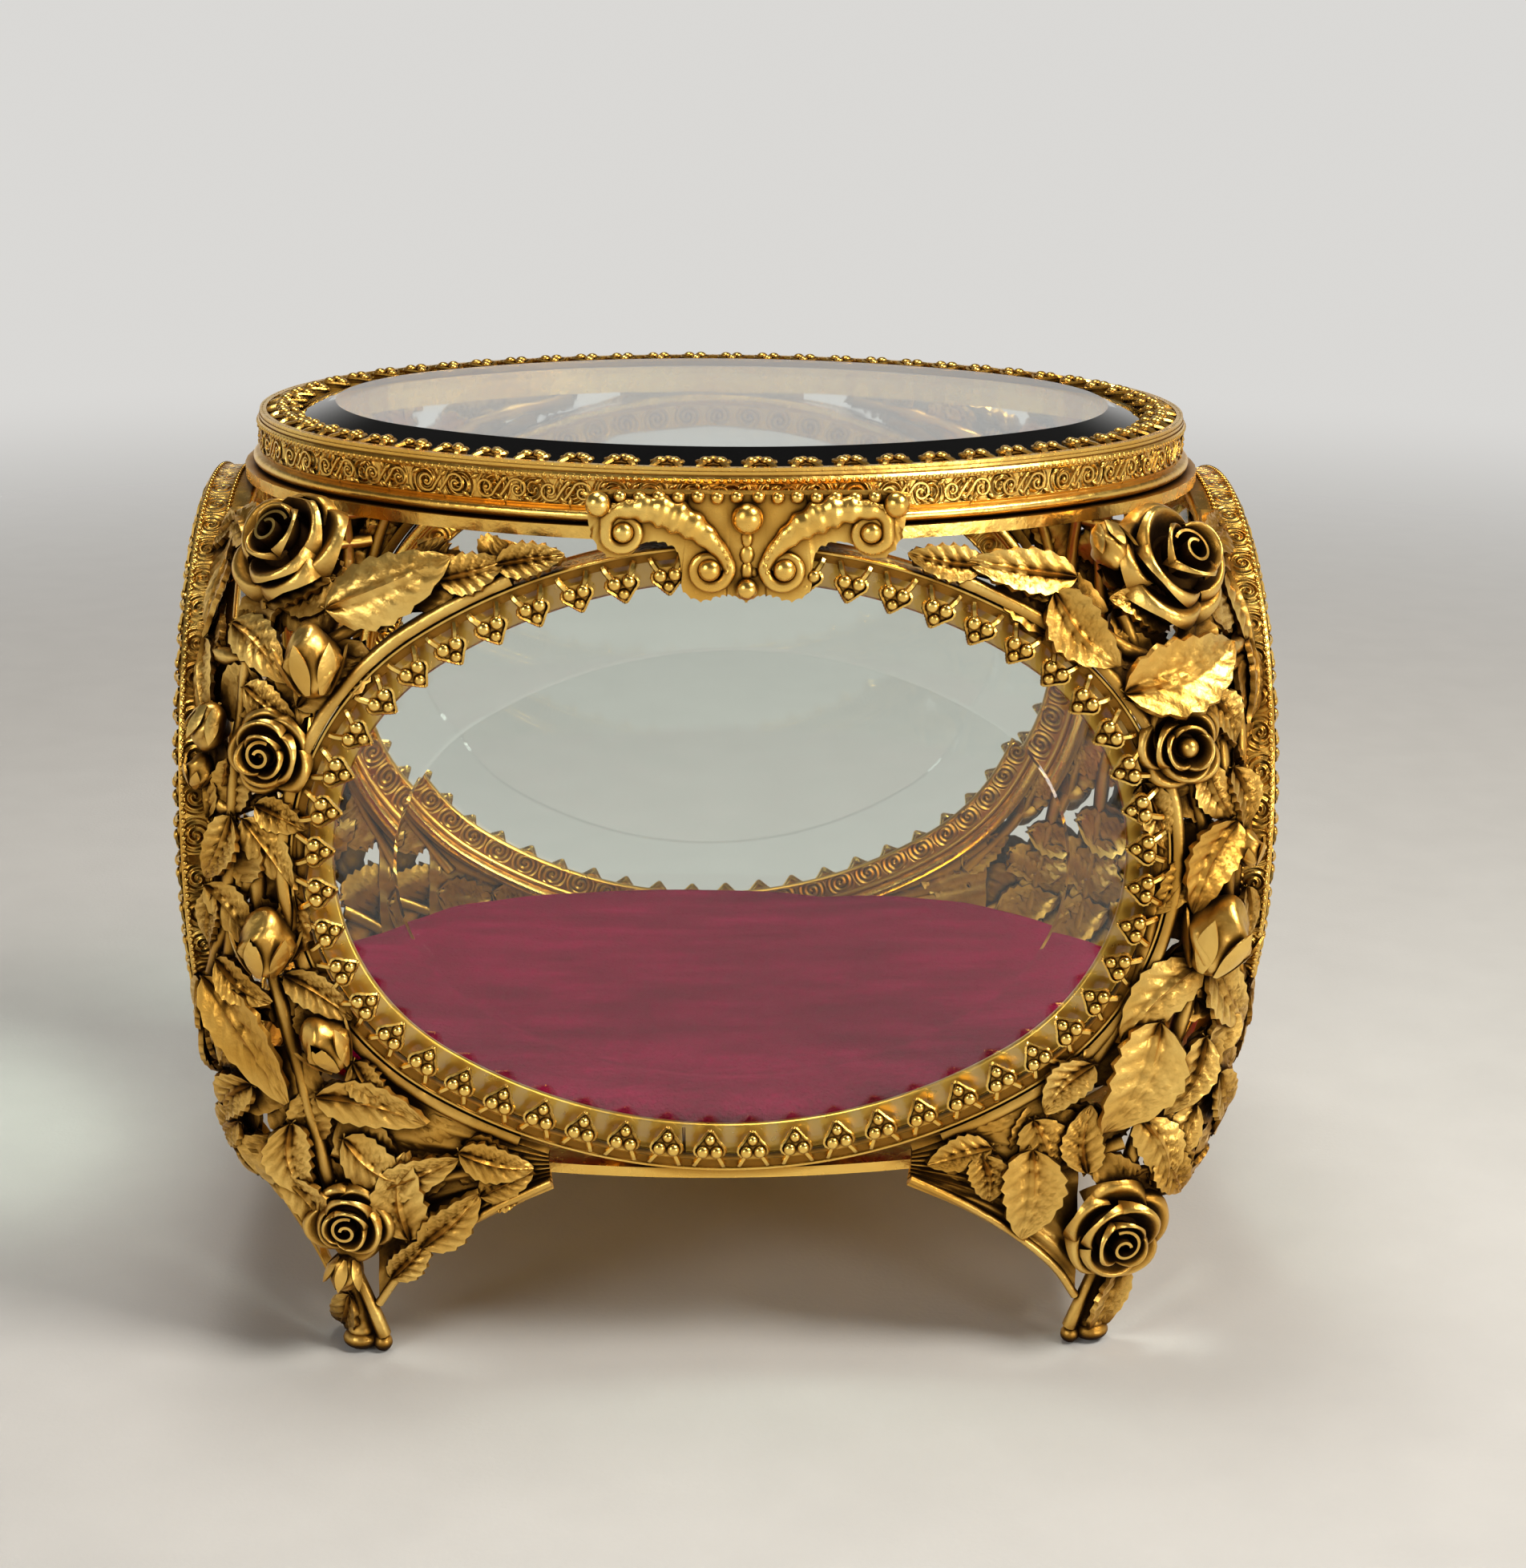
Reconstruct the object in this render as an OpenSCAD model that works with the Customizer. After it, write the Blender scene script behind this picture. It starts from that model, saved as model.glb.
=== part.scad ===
// Oval-lidded glass casket with pierced rose castings at the four corners.
// Millimetres. Floor at z = 0, front toward -Y, lid hinged along the back.

/* [Lid] */

// Width of the lid band over its rolled rim
lid_w = 132.8; // [126:0.5:138]
// Depth of the lid band over its rolled rim
lid_d = 102.8; // [96:0.5:108]
// Radius of the lid oval's two ends
lid_end_r = 43; // [40:1:45]
// Height of the lid band without its lace crown
lid_band_h = 6.2; // [5:0.1:8]
// Wall of the lid band behind the scroll frieze
lid_wall = 1.4; // [1:0.1:2]
// Thickness of the lid pane inside its bevel
lid_pane_h = 4.6; // [4.2:0.1:5.5]
// Widest opening of the lid, in degrees
lid_open = 95; // [80:1:100]

/* [Windows] */

// Width of the front and back window rings
window_w = 115; // [108:0.5:118]
// Height of the front and back window rings
window_h = 86; // [80:0.5:88]
// Radius of the front window oval's two ends
window_end_r = 37; // [34:1:39]
// Width of the two side window rings, along the box's depth
side_w = 90; // [84:0.5:94]
// Height of the two side window rings
side_h = 86; // [80:0.5:88]
// Radius of the side window oval's two ends
side_end_r = 41.5; // [38:0.5:42]
// Depth of a window ring, front edge to back edge
ring_depth = 7; // [6:0.1:8]
// Wall of a window ring
ring_wall = 1.2; // [1:0.1:1.6]
// Width of the flat band that a window pane rests against
ledge = 4.6; // [3:0.2:6]
// Width of the ledge under the lid pane
lid_rest = 2; // [1.4:0.1:3]
// Thickness of a window pane inside its bevel
pane_h = 2.9; // [2.5:0.1:3.2]
// Thickness of a pane at its ground edge
pane_edge = 1.4; // [1:0.1:1.8]
// Width of the ground bevel round each pane
bevel = 9; // [6:0.5:11]

/* [Lace crowns] */

// Thickness of the lace that folds over the glass
lace_t = 0.7; // [0.6:0.05:0.9]
// Reach of one trefoil prong from the ring's edge
prong_l = 5.2; // [4:0.1:6]
// Width of one trefoil prong across its two lobes
prong_w = 4; // [3.4:0.1:4.4]
// Prongs on a front or back window, four equal quarters
window_prongs = 52; // [44:4:56]
// Prongs on a side window
side_prongs = 48; // [40:4:52]
// Prongs on the lid
lid_prongs = 60; // [52:4:64]

/* [Box] */

// Distance between the outer faces of the front and back lace
box_d = 104.4; // [102:0.2:108]
// Distance between the outer faces of the two side laces
box_w = 146; // [144:0.5:150]
// Height of the window rings' lowest point over the floor
ring_z = 27.5; // [24:0.5:30]
// Thickness of the floor plate
floor_t = 1.4; // [1.2:0.1:2]
// Thickness of the mouth flange under the lid
flange_t = 1.6; // [1.4:0.1:2]
// How far the mouth flange stands out past the lid's rim
flange_lip = 1.2; // [0.8:0.1:1.6]
// Height of the collar that stands up inside the lid
collar_h = 2.4; // [1.8:0.1:2.8]

/* [Corner castings] */

// Spacing of the two front feet, centre to centre
feet_w = 101; // [96:0.5:106]
// Spacing of the front feet from the back feet
feet_d = 96; // [92:0.5:98]
// Height of a leg, floor to the floor plate
leg_h = 26; // [24:0.5:28]
// Thickness of the strap that follows each window ring
strap_t = 1.5; // [1.2:0.1:2]
// Depth of that strap
strap_d = 2.6; // [2:0.1:3]
// Thickness of the main stem
stem_r = 1.7; // [1.4:0.1:2]
// Thickness of a leaf at its midrib
leaf_t = 1.5; // [1.2:0.1:1.8]

/* [Velvet pad] */

// Height of the pad at its crown
pad_h = 9; // [7:0.5:11]
// Space between the pad and the rings round it
pad_gap = 1.2; // [0.8:0.1:2]
// Thickness of the card that the velvet is glued to
card_t = 1.6; // [1.2:0.1:2]

/* [Hinge and clasp] */

// Length of the hinge
hinge_l = 30; // [24:1:36]
// Outside radius of the hinge knuckles
knuckle_r = 1.7; // [1.5:0.1:2]
// Radius of the hinge pin
pin_r = 0.8; // [0.7:0.05:0.9]
// Thickness of the hinge leaves
leaf_plate = 0.8; // [0.7:0.1:1]
// Width of the clasp plate
clasp_w = 40; // [36:0.5:44]
// Height of the clasp plate
clasp_h = 14.8; // [13:0.2:16]
// Thickness of the clasp plate
clasp_t = 1; // [0.8:0.1:1.2]
// How far the clasp sits to the right of the middle
clasp_x = 1.2; // [-2:0.2:2]

/* [Fits] */

// Space between a fixed piece and the piece that it rests against
seat = 0.2; // [0.1:0.05:0.3]
// Space between the closed lid and the mouth flange
lid_gap = 0.3; // [0.2:0.05:0.5]
// Radial space between the hinge pin and its bores
pin_fit = 0.06; // [0.03:0.01:0.1]
// Space at the ends of each hinge knuckle
knuckle_gap = 0.3; // [0.2:0.05:0.4]

/* [Hidden] */

gold = [0.80, 0.60, 0.22];
old_gold = [0.70, 0.50, 0.18];
glass = [0.72, 0.80, 0.80, 0.35];
velvet = [0.50, 0.03, 0.18];
card = [0.35, 0.30, 0.26];

window_z = ring_z + window_h / 2;
side_z = ring_z + side_h / 2;
ring_top = ring_z + window_h;
flange_z = ring_top + lid_gap;
lid_z = flange_z + flange_t + lid_gap;
lid_top = lid_z + lid_band_h;
rim_out = 1;          // the rolled rim stands this far past the frieze
rim_h = 1.5;          // and is this tall
bead_h = 0.8;         // height of the bead rail along the frieze's top
collar_t = 1.2;       // thickness of the mouth's collar
lid_ledge = 0.9;      // thickness of the ledge under the lid pane
lid_ledge_z = lid_top - 2.6;
crown_rise = 1.3;     // the lid's lace stands this far up before it folds
pane_z = -3.4;        // a pane's back face, from its ring's front edge
lace_rail = 1.1;      // width of the beaded rail that carries the prongs
rise = 0.02;          // thin slice used by hulls
oval_sides = 80;      // sides that stand for each oval's four arcs
leaf_sunk = 1;        // a leaf's rim lies this far under the corner's surface
floor_z = ring_z - lid_gap - floor_t;
hinge_y = max(lid_d / 2 + 0.7, box_d / 2 - 0.1) + knuckle_r;
leaf_y = max(box_d / 2 + pin_fit, lid_d / 2 + 0.4 * flange_lip + seat);
hinge_z = lid_z - lid_gap / 2;
knuckles = 5;

// An oval of four arcs: half width a, half depth b, end radius r.
function flat_r(a, b, r) = ((a - r) * (a - r) + b * b - r * r) / (2 * (b - r));
function turn(a, b, r) = atan2(flat_r(a, b, r) - b, a - r);
function oval_len(a, b, r) =
  PI / 45 * (r * turn(a, b, r) + flat_r(a, b, r) * (90 - turn(a, b, r)));

// Direction of the outward normal at arc length s from the +X end.
function oval_dir(a, b, r, s) =
  let (t = turn(a, b, r), end = r * t * PI / 180)
  s < end ? s / r * 180 / PI : t + (s - end) / flat_r(a, b, r) * 180 / PI;

// The point of the oval whose outward normal has direction d.
function oval_at(a, b, r, d) =
  let (big = flat_r(a, b, r))
  d < turn(a, b, r) ? [a - r + r * cos(d), r * sin(d)]
                    : [big * cos(d), big * sin(d) - big + b];

// Its outline, anticlockwise, moved out by grow with the same sides.
function oval_line(a, b, r, fine, grow = 0) =
  let (big = flat_r(a, b, r), t = turn(a, b, r),
       end = round(fine / 4 * r * t / (r * t + big * (90 - t))),
       flat = fine / 4 - end,
       turns = concat([for (i = [0 : end - 1]) t * i / end],
                      [for (i = [0 : flat]) t + (90 - t) * i / flat]),
       q = [for (d = turns) oval_at(a, b, r, d) + grow * [cos(d), sin(d)]],
       last = len(q) - 1)
  concat(q, [for (i = [1 : last]) [-q[last - i][0], q[last - i][1]]],
    [for (i = [1 : last]) [-q[i][0], -q[i][1]]],
    [for (i = [1 : last - 1]) [q[last - i][0], -q[last - i][1]]]);

module oval(a, b, r, fine = oval_sides) polygon(oval_line(a, b, r, fine));

module oval_tube(a, b, r, wall, h)
  linear_extrude(h) difference() {
    oval(a, b, r);
    oval(a - wall, b - wall, r - wall);
  }

// One trefoil prong: two round lobes and a pointed third, on V-shaped legs.
module prong() {
  w = prong_w / 2;
  l = prong_l - lace_rail;
  polygon([[0.3, -w], [-0.26 * l, -0.55 * w], [-0.38 * l, -0.96 * w],
    [-0.6 * l, -0.96 * w], [-0.78 * l, -0.55 * w], [-l, 0],
    [-0.78 * l, 0.55 * w], [-0.6 * l, 0.96 * w], [-0.38 * l, 0.96 * w],
    [-0.26 * l, 0.55 * w], [0.3, w], [0.1, 0.35 * w], [-0.16 * l, 0],
    [0.1, -0.35 * w]]);
}

// A flat lace crown: a rail with prongs that point inward, as one outline.
module lace(a, b, r, count) {
  quarter = oval_len(a, b, r) / 4;
  linear_extrude(lace_t) offset(delta = 0.001) {
    difference() {
      oval(a, b, r);
      oval(a - lace_rail, b - lace_rail, r - lace_rail);
    }
    for (i = [0 : count / 4 - 1], flip_x = [0, 1], flip_y = [0, 1]) {
      d = oval_dir(a, b, r, (i + 0.5) * quarter / (count / 4));
      at = oval_at(a, b, r, d);
      mirror([flip_x, 0]) mirror([0, flip_y]) translate(at) rotate(d)
        translate([-lace_rail, 0]) prong();
    }
  }
}

// A pane with a ground bevel round its outer face.
module pane(a, b, r, h, edge)
  hull() {
    linear_extrude(edge) oval(a, b, r, 44);
    linear_extrude(h) oval(a - bevel, b - bevel, r - bevel, 44);
  }

// A window ring: a plain oval band with the ledge that the pane rests on.
module window_ring(a, b, r) {
  translate([0, 0, -ring_depth]) oval_tube(a, b, r, ring_wall, ring_depth);
  translate([0, 0, pane_z - 1])
    oval_tube(a - ring_wall + 0.2, b - ring_wall + 0.2, r - ring_wall + 0.2, ledge, 1);
}

module window_pane(a, b, r) {
  gap = ring_wall + seat;
  translate([0, 0, pane_z]) pane(a - gap, b - gap, r - gap, pane_h, pane_edge);
}

// Local +Z points out of the box on each face.
module at_front()
  translate([0, lace_t - box_d / 2, window_z]) rotate([90, 0, 0]) children();
module at_back() rotate(180) at_front() children();
module at_right()
  translate([box_w / 2 - lace_t, 0, side_z]) rotate([90, 0, 90]) children();
module at_left() rotate(180) at_right() children();

module front_ring() window_ring(window_w / 2, window_h / 2, window_end_r);
module front_lace()
  lace(window_w / 2, window_h / 2, window_end_r, window_prongs);
module front_pane() window_pane(window_w / 2, window_h / 2, window_end_r);
module side_ring() window_ring(side_w / 2, side_h / 2, side_end_r);
module side_lace() lace(side_w / 2, side_h / 2, side_end_r, side_prongs);
module side_pane() window_pane(side_w / 2, side_h / 2, side_end_r);

module front_window_ring() color(gold) at_front() front_ring();
module front_window_lace() color(gold) at_front() front_lace();
module front_window_glass() color(glass) at_front() front_pane();
module back_window_ring() color(gold) at_back() front_ring();
module back_window_lace() color(gold) at_back() front_lace();
module back_window_glass() color(glass) at_back() front_pane();
module left_window_ring() color(gold) at_left() side_ring();
module left_window_lace() color(gold) at_left() side_lace();
module left_window_glass() color(glass) at_left() side_pane();
module right_window_ring() color(gold) at_right() side_ring();
module right_window_lace() color(gold) at_right() side_lace();
module right_window_glass() color(glass) at_right() side_pane();

// Lid band: rolled rim, frieze wall, bead rail and the ledge for its pane,
// stacked in layers that share one inner wall.
module lid_layer(z, h, out, wall) translate([0, 0, lid_z + z])
  oval_tube(lid_w / 2 - out, lid_d / 2 - out, lid_end_r - out, wall, h);

module lid_band() color(gold) {
  wall_in = rim_out + lid_wall;
  bead_out = rim_out - 0.4;
  lid_layer(0, rim_h, 0, wall_in);
  lid_layer(rim_h, lid_band_h - rim_h - bead_h, rim_out, lid_wall);
  lid_layer(lid_band_h - bead_h, bead_h, bead_out, wall_in - bead_out);
  lid_layer(lid_ledge_z - lid_z - lid_ledge, lid_ledge, wall_in - 0.2, lid_rest);
}

module lid_crown() color(gold) translate([0, 0, lid_top]) {
  a = lid_w / 2 - rim_out;
  b = lid_d / 2 - rim_out;
  inset = 0.1;
  oval_tube(a - inset, b - inset, lid_end_r - rim_out - inset, lace_rail - 2 * inset,
            crown_rise);
  translate([0, 0, crown_rise]) lace(a, b, lid_end_r - rim_out, lid_prongs);
}

module lid_glass() color(glass) translate([0, 0, lid_ledge_z]) {
  in = rim_out + lid_wall + seat;
  pane(lid_w / 2 - in, lid_d / 2 - in, lid_end_r - in, lid_pane_h, lid_pane_h - 3);
}

// Mouth ring: a flat flange on the window rings and castings, and above it
// the collar that the lid drops over. Both share the mouth's inner wall.
module mouth_ring() color(gold) translate([0, 0, flange_z]) {
  collar_in = rim_out + lid_wall + 2.6;
  mouth_in = collar_in + collar_t;
  linear_extrude(flange_t) difference() {
    oval(lid_w / 2 + flange_lip, lid_d / 2 + 0.4 * flange_lip, lid_end_r);
    oval(lid_w / 2 - mouth_in, lid_d / 2 - mouth_in, lid_end_r - mouth_in);
  }
  translate([0, 0, flange_t]) oval_tube(lid_w / 2 - collar_in, lid_d / 2 - collar_in,
    lid_end_r - collar_in, collar_t, collar_h);
}

// Clasp: a scrolled plate that hangs from the lid over the front ring's top.
clasp_face = max(box_d / 2, lid_d / 2 + flange_lip - rim_out + 0.6) + lid_gap;
clasp_top = lid_top - 1.2;

module scroll_plate() {
  w = clasp_w / 2;
  h = clasp_h;
  polygon([[0, 0], [w - 1.4, 0], [w, -1.6], [w - 0.6, -6], [w - 2.6, -8.6],
    [w - 5.4, -8.2], [w - 6.6, -6.8], [w - 9, -6.6], [w - 11.4, -8],
    [w - 12, 1.4 - h], [w - 14.2, -h], [w - 16.6, 0.9 - h], [2.2, 1 - h],
    [0, -h]]);
}

module volute(x, y, r) translate([x, y, 0]) {
  cylinder(h = clasp_t + 1, r = r, $fn = 32);
  cylinder(h = clasp_t + 1.8, r = 0.5 * r, $fn = 32);
}

// The bridge between the plate and the lid's rolled rim.
module clasp_bridge() translate([0, 0, lid_z + 0.2]) linear_extrude(rim_h + 1)
  difference() {
    translate([clasp_x, -clasp_face + clasp_face / 4])
      square([clasp_w - 6, clasp_face / 2], center = true);
    oval(lid_w / 2 + seat / 2, lid_d / 2 + seat / 2, lid_end_r + seat / 2);
  }

module lid_clasp() color(gold) {
  clasp_bridge();
  translate([clasp_x, -clasp_face, clasp_top]) rotate([90, 0, 0]) {
    w = clasp_w / 2;
    for (s = [0, 1]) mirror([s, 0, 0]) {
      linear_extrude(clasp_t) scroll_plate();
      volute(w - 4.4, -5.1, 3.1);
      volute(4.7, -9.5, 3.3);
      translate([9.8, -9.8, 0]) rotate(25) rotate_extrude(angle = 150, $fn = 64)
        translate([5, 0]) square([2.8, clasp_t + 0.7]);
      translate([w - 1.5, -1.8, clasp_t]) sphere(1.6, $fn = 24);
      for (i = [0 : 6])
        translate([1.3 + i * 2.4, -0.9, clasp_t]) sphere(0.8, $fn = 24);
    }
    translate([0, -3.6, clasp_t]) sphere(2, $fn = 32);
    translate([0, -12.6, clasp_t]) sphere(1.4, $fn = 32);
  }
}

// Hinge: five knuckles on one pin, three on the box and two on the lid.
knuckle_l = hinge_l / knuckles;

module knuckle(i)
  translate([-hinge_l / 2 + i * knuckle_l + knuckle_gap / 2, hinge_y, hinge_z])
    rotate([0, 90, 0]) cylinder(h = knuckle_l - knuckle_gap, r = knuckle_r, $fn = 48);

module pin_bore()
  translate([-hinge_l, hinge_y, hinge_z])
    rotate([0, 90, 0]) cylinder(h = 2 * hinge_l, r = pin_r + pin_fit, $fn = 48);

module body_hinge_leaf() color(gold) difference() {
  union() {
    for (i = [0, 2, 4]) knuckle(i);
    for (i = [0, 2, 4])
      translate([-hinge_l / 2 + i * knuckle_l + knuckle_gap / 2,
                 leaf_y, hinge_z - 7])
        cube([knuckle_l - knuckle_gap, leaf_plate, 7]);
    translate([-hinge_l / 2 + knuckle_gap / 2, leaf_y, hinge_z - 7])
      cube([hinge_l - knuckle_gap, leaf_plate, 4.6]);
  }
  pin_bore();
}

module lid_hinge_leaf() color(gold) difference() {
  union() {
    for (i = [1, 3]) knuckle(i);
    for (i = [1, 3])
      translate([-hinge_l / 2 + i * knuckle_l + knuckle_gap / 2, lid_d / 2 + seat, hinge_z])
        cube([knuckle_l - knuckle_gap, leaf_plate, 5]);
    translate([-hinge_l / 2 + knuckle_gap / 2, lid_d / 2 + seat, hinge_z + knuckle_r + 0.3])
      cube([hinge_l - knuckle_gap, leaf_plate, 5 - knuckle_r - 0.3]);
  }
  pin_bore();
}

module hinge_pin() color(old_gold)
  translate([-hinge_l / 2 - 0.8, hinge_y, hinge_z]) rotate([0, 90, 0]) {
    cylinder(h = hinge_l + 1.6, r = pin_r, $fn = 48);
    cylinder(h = 0.6, r = pin_r + 0.5, $fn = 48);
    translate([0, 0, hinge_l + 1]) cylinder(h = 0.6, r = pin_r + 0.5, $fn = 48);
  }

// Corner castings. A place on the swelling corner is an angle round the box
// and a height: zero degrees faces +X, ninety degrees faces the front.
levels = [0, 12, 27, 45, 70, 95, 108, 118];
half_w = concat([for (out = [3.5, 9.5]) feet_w / 2 + out],
  [for (in = [4, 1, 0.7, 1.5, 3.5, 6.5]) box_w / 2 - in]);
half_d = concat([for (out = [3.5, 3.5]) feet_d / 2 + out],
  [for (in = [0.2, 0.2, 0.2, 0.2, 0.4, 1.2]) box_d / 2 - in]);
squareness = [9, 9, 9, 9, 9, 6, 3.4, 2.2];

function level(row, z) = lookup(z, [for (i = [0 : len(levels) - 1]) [levels[i], row[i]]]);
function reach(a, z) = let (n = level(squareness, z))
  pow(pow(cos(a) / level(half_w, z), n) + pow(sin(a) / level(half_d, z), n), -1 / n);
function on_corner(a, z) = [reach(a, z) * cos(a), -reach(a, z) * sin(a), z];
function unit(v) = v / norm(v);
function out_of(a, z) =
  unit(cross(on_corner(a - 1, z) - on_corner(a + 1, z),
             on_corner(a, z + 1) - on_corner(a, z - 1)));

// Sets a shape down on the corner, its X toward the second place.
module lay(a, z, a2, z2, lift = 0) {
  p = on_corner(a, z);
  n = out_of(a, z);
  d = on_corner(a2, z2) - p;
  x = unit(d - (d * n) * n);
  y = cross(n, x);
  q = p + lift * n;
  multmatrix([[x[0], y[0], n[0], q[0]], [x[1], y[1], n[1], q[1]],
              [x[2], y[2], n[2], q[2]], [0, 0, 0, 1]]) children();
}

// An open rose: a tight heart inside a turn of cupped petals.
module rose(a, z, r) lay(a, z, a - 10, z + 6, 0.4) {
  translate([0, 0, 0.3 * r]) scale([0.42, 0.42, 0.6]) sphere(r, $fn = 5);
  for (i = [0 : 4]) rotate(i * 72) translate([0.5 * r, 0, 0.16 * r])
    rotate([0, -34, 0]) scale([0.65, 0.9, 0.3]) sphere(r, $fn = 4);
}

// A closed bud in its sepals.
module bud(a, z, r) lay(a, z, a, z + 6, 0.3) {
  scale([1, 0.82, 0.75]) sphere(r, $fn = 6);
  translate([-0.8 * r, 0, 0]) scale([0.8, 0.5, 0.5]) sphere(r, $fn = 4);
}

// A pointed leaf that falls to each side of its midrib, from base to tip.
module rose_leaf(a, z, a2, z2, w) {
  l = norm(on_corner(a2, z2) - on_corner(a, z));
  side = 0.42 * w;
  rib = leaf_t + leaf_sunk;
  lay(a, z, a2, z2, -leaf_sunk) rotate([0, -4, 0]) polyhedron(
    [[-1.5, 0, 0], [0.2 * l, -side, 0], [0.66 * l, -side, 0], [l + 0.6, 0, 0],
     [0.66 * l, side, 0], [0.2 * l, side, 0], [0.1 * l, 0, rib], [0.75 * l, 0, rib]],
    [[0, 1, 2, 3, 4, 5], [0, 6, 1], [1, 6, 7, 2], [2, 7, 3], [3, 7, 4],
     [4, 7, 6, 5], [5, 6, 0]]);
}

module stem(path, r)
  for (i = [0 : len(path) - 2]) hull() {
    lay(path[i][0], path[i][1], 60, 130, -0.6) sphere(r, $fn = 4);
    lay(path[i + 1][0], path[i + 1][1], 60, 130, -0.6) sphere(r, $fn = 4);
  }

// The flat strap that hugs a window ring, from the mouth to the web's tip.
strap_gap = 0.45;     // from a window ring to the corners of its strap

module strap(a, b, r, from)
  translate([0, 0, -strap_d]) linear_extrude(strap_d) difference() {
    oval(a + strap_gap + strap_t, b + strap_gap + strap_t, r + strap_gap + strap_t, 24);
    oval(a + strap_gap, b + strap_gap, r + strap_gap, 24);
    translate([from - 2 * a, -2 * b]) square([2 * a, 4 * b]);
    translate([-2 * a, window_h / 2 + lid_gap - seat]) square([4 * a, b]);
  }

// The leg: a post to the foot, and a web out to each window ring.
module leg() {
  foot = [feet_w / 2, -feet_d / 2];
  hull() {
    translate([foot[0], foot[1], 0]) cylinder(h = rise, r = 2.6, $fn = 8);
    translate([foot[0] + 0.6, foot[1], 9]) sphere(1.9, $fn = 6);
  }
  hull() {
    translate([foot[0] + 0.6, foot[1], 9]) sphere(1.9, $fn = 6);
    lay(42, leg_h - 3, 42, 60) sphere(2.4, $fn = 6);
  }
  hull() {
    translate([foot[0], foot[1] - 0.6, 12]) sphere(1.1, $fn = 4);
    translate([foot[0] - 2, foot[1] - 1.6, leg_h - 1]) sphere(1.1, $fn = 4);
    translate([window_w / 2 - 32, 1.6 - box_d / 2, leg_h - 0.6]) sphere(0.9, $fn = 4);
  }
  hull() {
    translate([foot[0] + 1, foot[1] + 0.6, 12]) sphere(1.1, $fn = 4);
    lay(34, leg_h - 1, 34, 60) sphere(1.1, $fn = 4);
    translate([box_w / 2 - 3, -side_w / 2 + 26, leg_h - 0.6]) sphere(0.9, $fn = 4);
  }
}

module casting(roses, buds, leaves, stems) {
  leg();
  at_front() strap(window_w / 2, window_h / 2, window_end_r, window_w / 2 - 33);
  at_right() mirror([1, 0, 0])
    strap(side_w / 2, side_h / 2, side_end_r, side_w / 2 - 27);
  for (p = roses) rose(p[0], p[1], p[2]);
  for (p = buds) bud(p[0], p[1], p[2]);
  for (p = leaves) rose_leaf(p[0], p[1], p[2], p[3], p[4]);
  for (p = stems) stem(p, stem_r);
}

// The casting with the cabbage bud: front left, and back right turned round.
module casting_one() casting(
  [[32, 111, 6.2], [40, 86, 5.2], [45, 21, 5]],
  [[43, 98, 4.3], [34, 88, 3], [40, 61, 4.2], [44, 47, 3.4]],
  [[44, 105, 53, 111, 7.6], [54, 108, 60, 110.5, 4], [59, 110.5, 66, 112, 2.6],
   [27, 110, 19, 111, 5], [26, 105, 28, 98, 5], [33, 100, 40, 96, 5.3],
   [29, 98, 33, 88, 4.4], [39, 78, 42, 77, 3.4], [37, 76, 34, 69, 4.2],
   [38, 76, 42, 69, 4.7], [34, 66, 39, 60, 4.8], [35, 56, 39, 53, 4],
   [34, 53, 41, 39, 6.5], [43, 39, 51, 35, 5], [41, 35, 42, 25, 5.5],
   [45, 33, 50, 27, 5.4], [50, 19, 50, 30, 6.2], [55, 31, 62, 28, 4],
   [31, 44, 25, 35, 5.5], [45, 7, 50, 1, 3.6]],
  [[[26, 111], [35, 105], [40, 86], [39, 66], [41, 48], [43, 30], [44, 14]],
   [[61, 110], [50, 107], [42, 99], [33, 97], [27.5, 98]], [[40, 80], [35, 78], [32, 90]], [[39, 70], [35, 60], [31, 51]],
   [[40, 50], [30, 47], [23, 37]], [[34, 56], [42, 52], [45, 46]], [[62, 29], [51, 27], [44, 31]]]);

// The casting with the loose ribbon leaf: front right, and back left.
module casting_two() casting(
  [[34, 109, 7.4], [41, 87, 5.3], [44, 18, 6.4]],
  [[38, 61, 5], [42, 111, 3]],
  [[48, 108, 60, 110.5, 4.2], [59, 110.5, 66, 112, 2.6], [51, 106, 46, 98, 6.2],
   [45, 95, 33, 98, 8], [27, 110, 19, 111, 5], [28, 105, 29, 97, 4.6],
   [39, 83, 36, 77, 4.4], [36, 82, 35, 74, 4.4], [36, 75, 40, 65, 6.4],
   [39, 57, 32, 47, 6], [39, 56, 44, 46, 6.5], [38, 45, 41, 36, 5],
   [42, 48, 46, 33, 9], [52, 34, 50, 27, 5.4], [43, 34, 40, 24, 5.4],
   [52, 30, 52, 18, 7.2], [56, 31, 62, 28, 4], [29, 46, 25, 35, 5],
   [45, 11, 43, 2, 5.2], [29, 98, 33, 88, 4.4]],
  [[[26, 111], [36, 104], [40, 86], [38, 66], [40, 48], [43, 30], [44, 14]],
   [[61, 110], [50, 107], [44, 99], [33, 98], [27.5, 98]], [[50, 108], [43, 110]],
   [[42, 93], [32, 90], [35, 76], [38, 66]],
   [[39, 50], [30, 47], [23, 37]], [[40, 57], [43, 50], [42, 40]], [[62, 29], [52, 27], [44, 31]]]);

module front_left_casting() color(old_gold) mirror([1, 0, 0]) casting_one();
module front_right_casting() color(old_gold) casting_two();
module back_left_casting() color(old_gold) rotate(180) casting_two();
module back_right_casting() color(old_gold) rotate(180) mirror([1, 0, 0]) casting_one();

// Floor plate under the rings, with the rings' lower edges just over it.
floor_a = box_w / 2 - lace_t - 1;
floor_b = box_d / 2 - lace_t - 1.5;
floor_r = 46;

module floor_plate() color(gold) translate([0, 0, floor_z])
  linear_extrude(floor_t) oval(floor_a, floor_b, floor_r);

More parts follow.
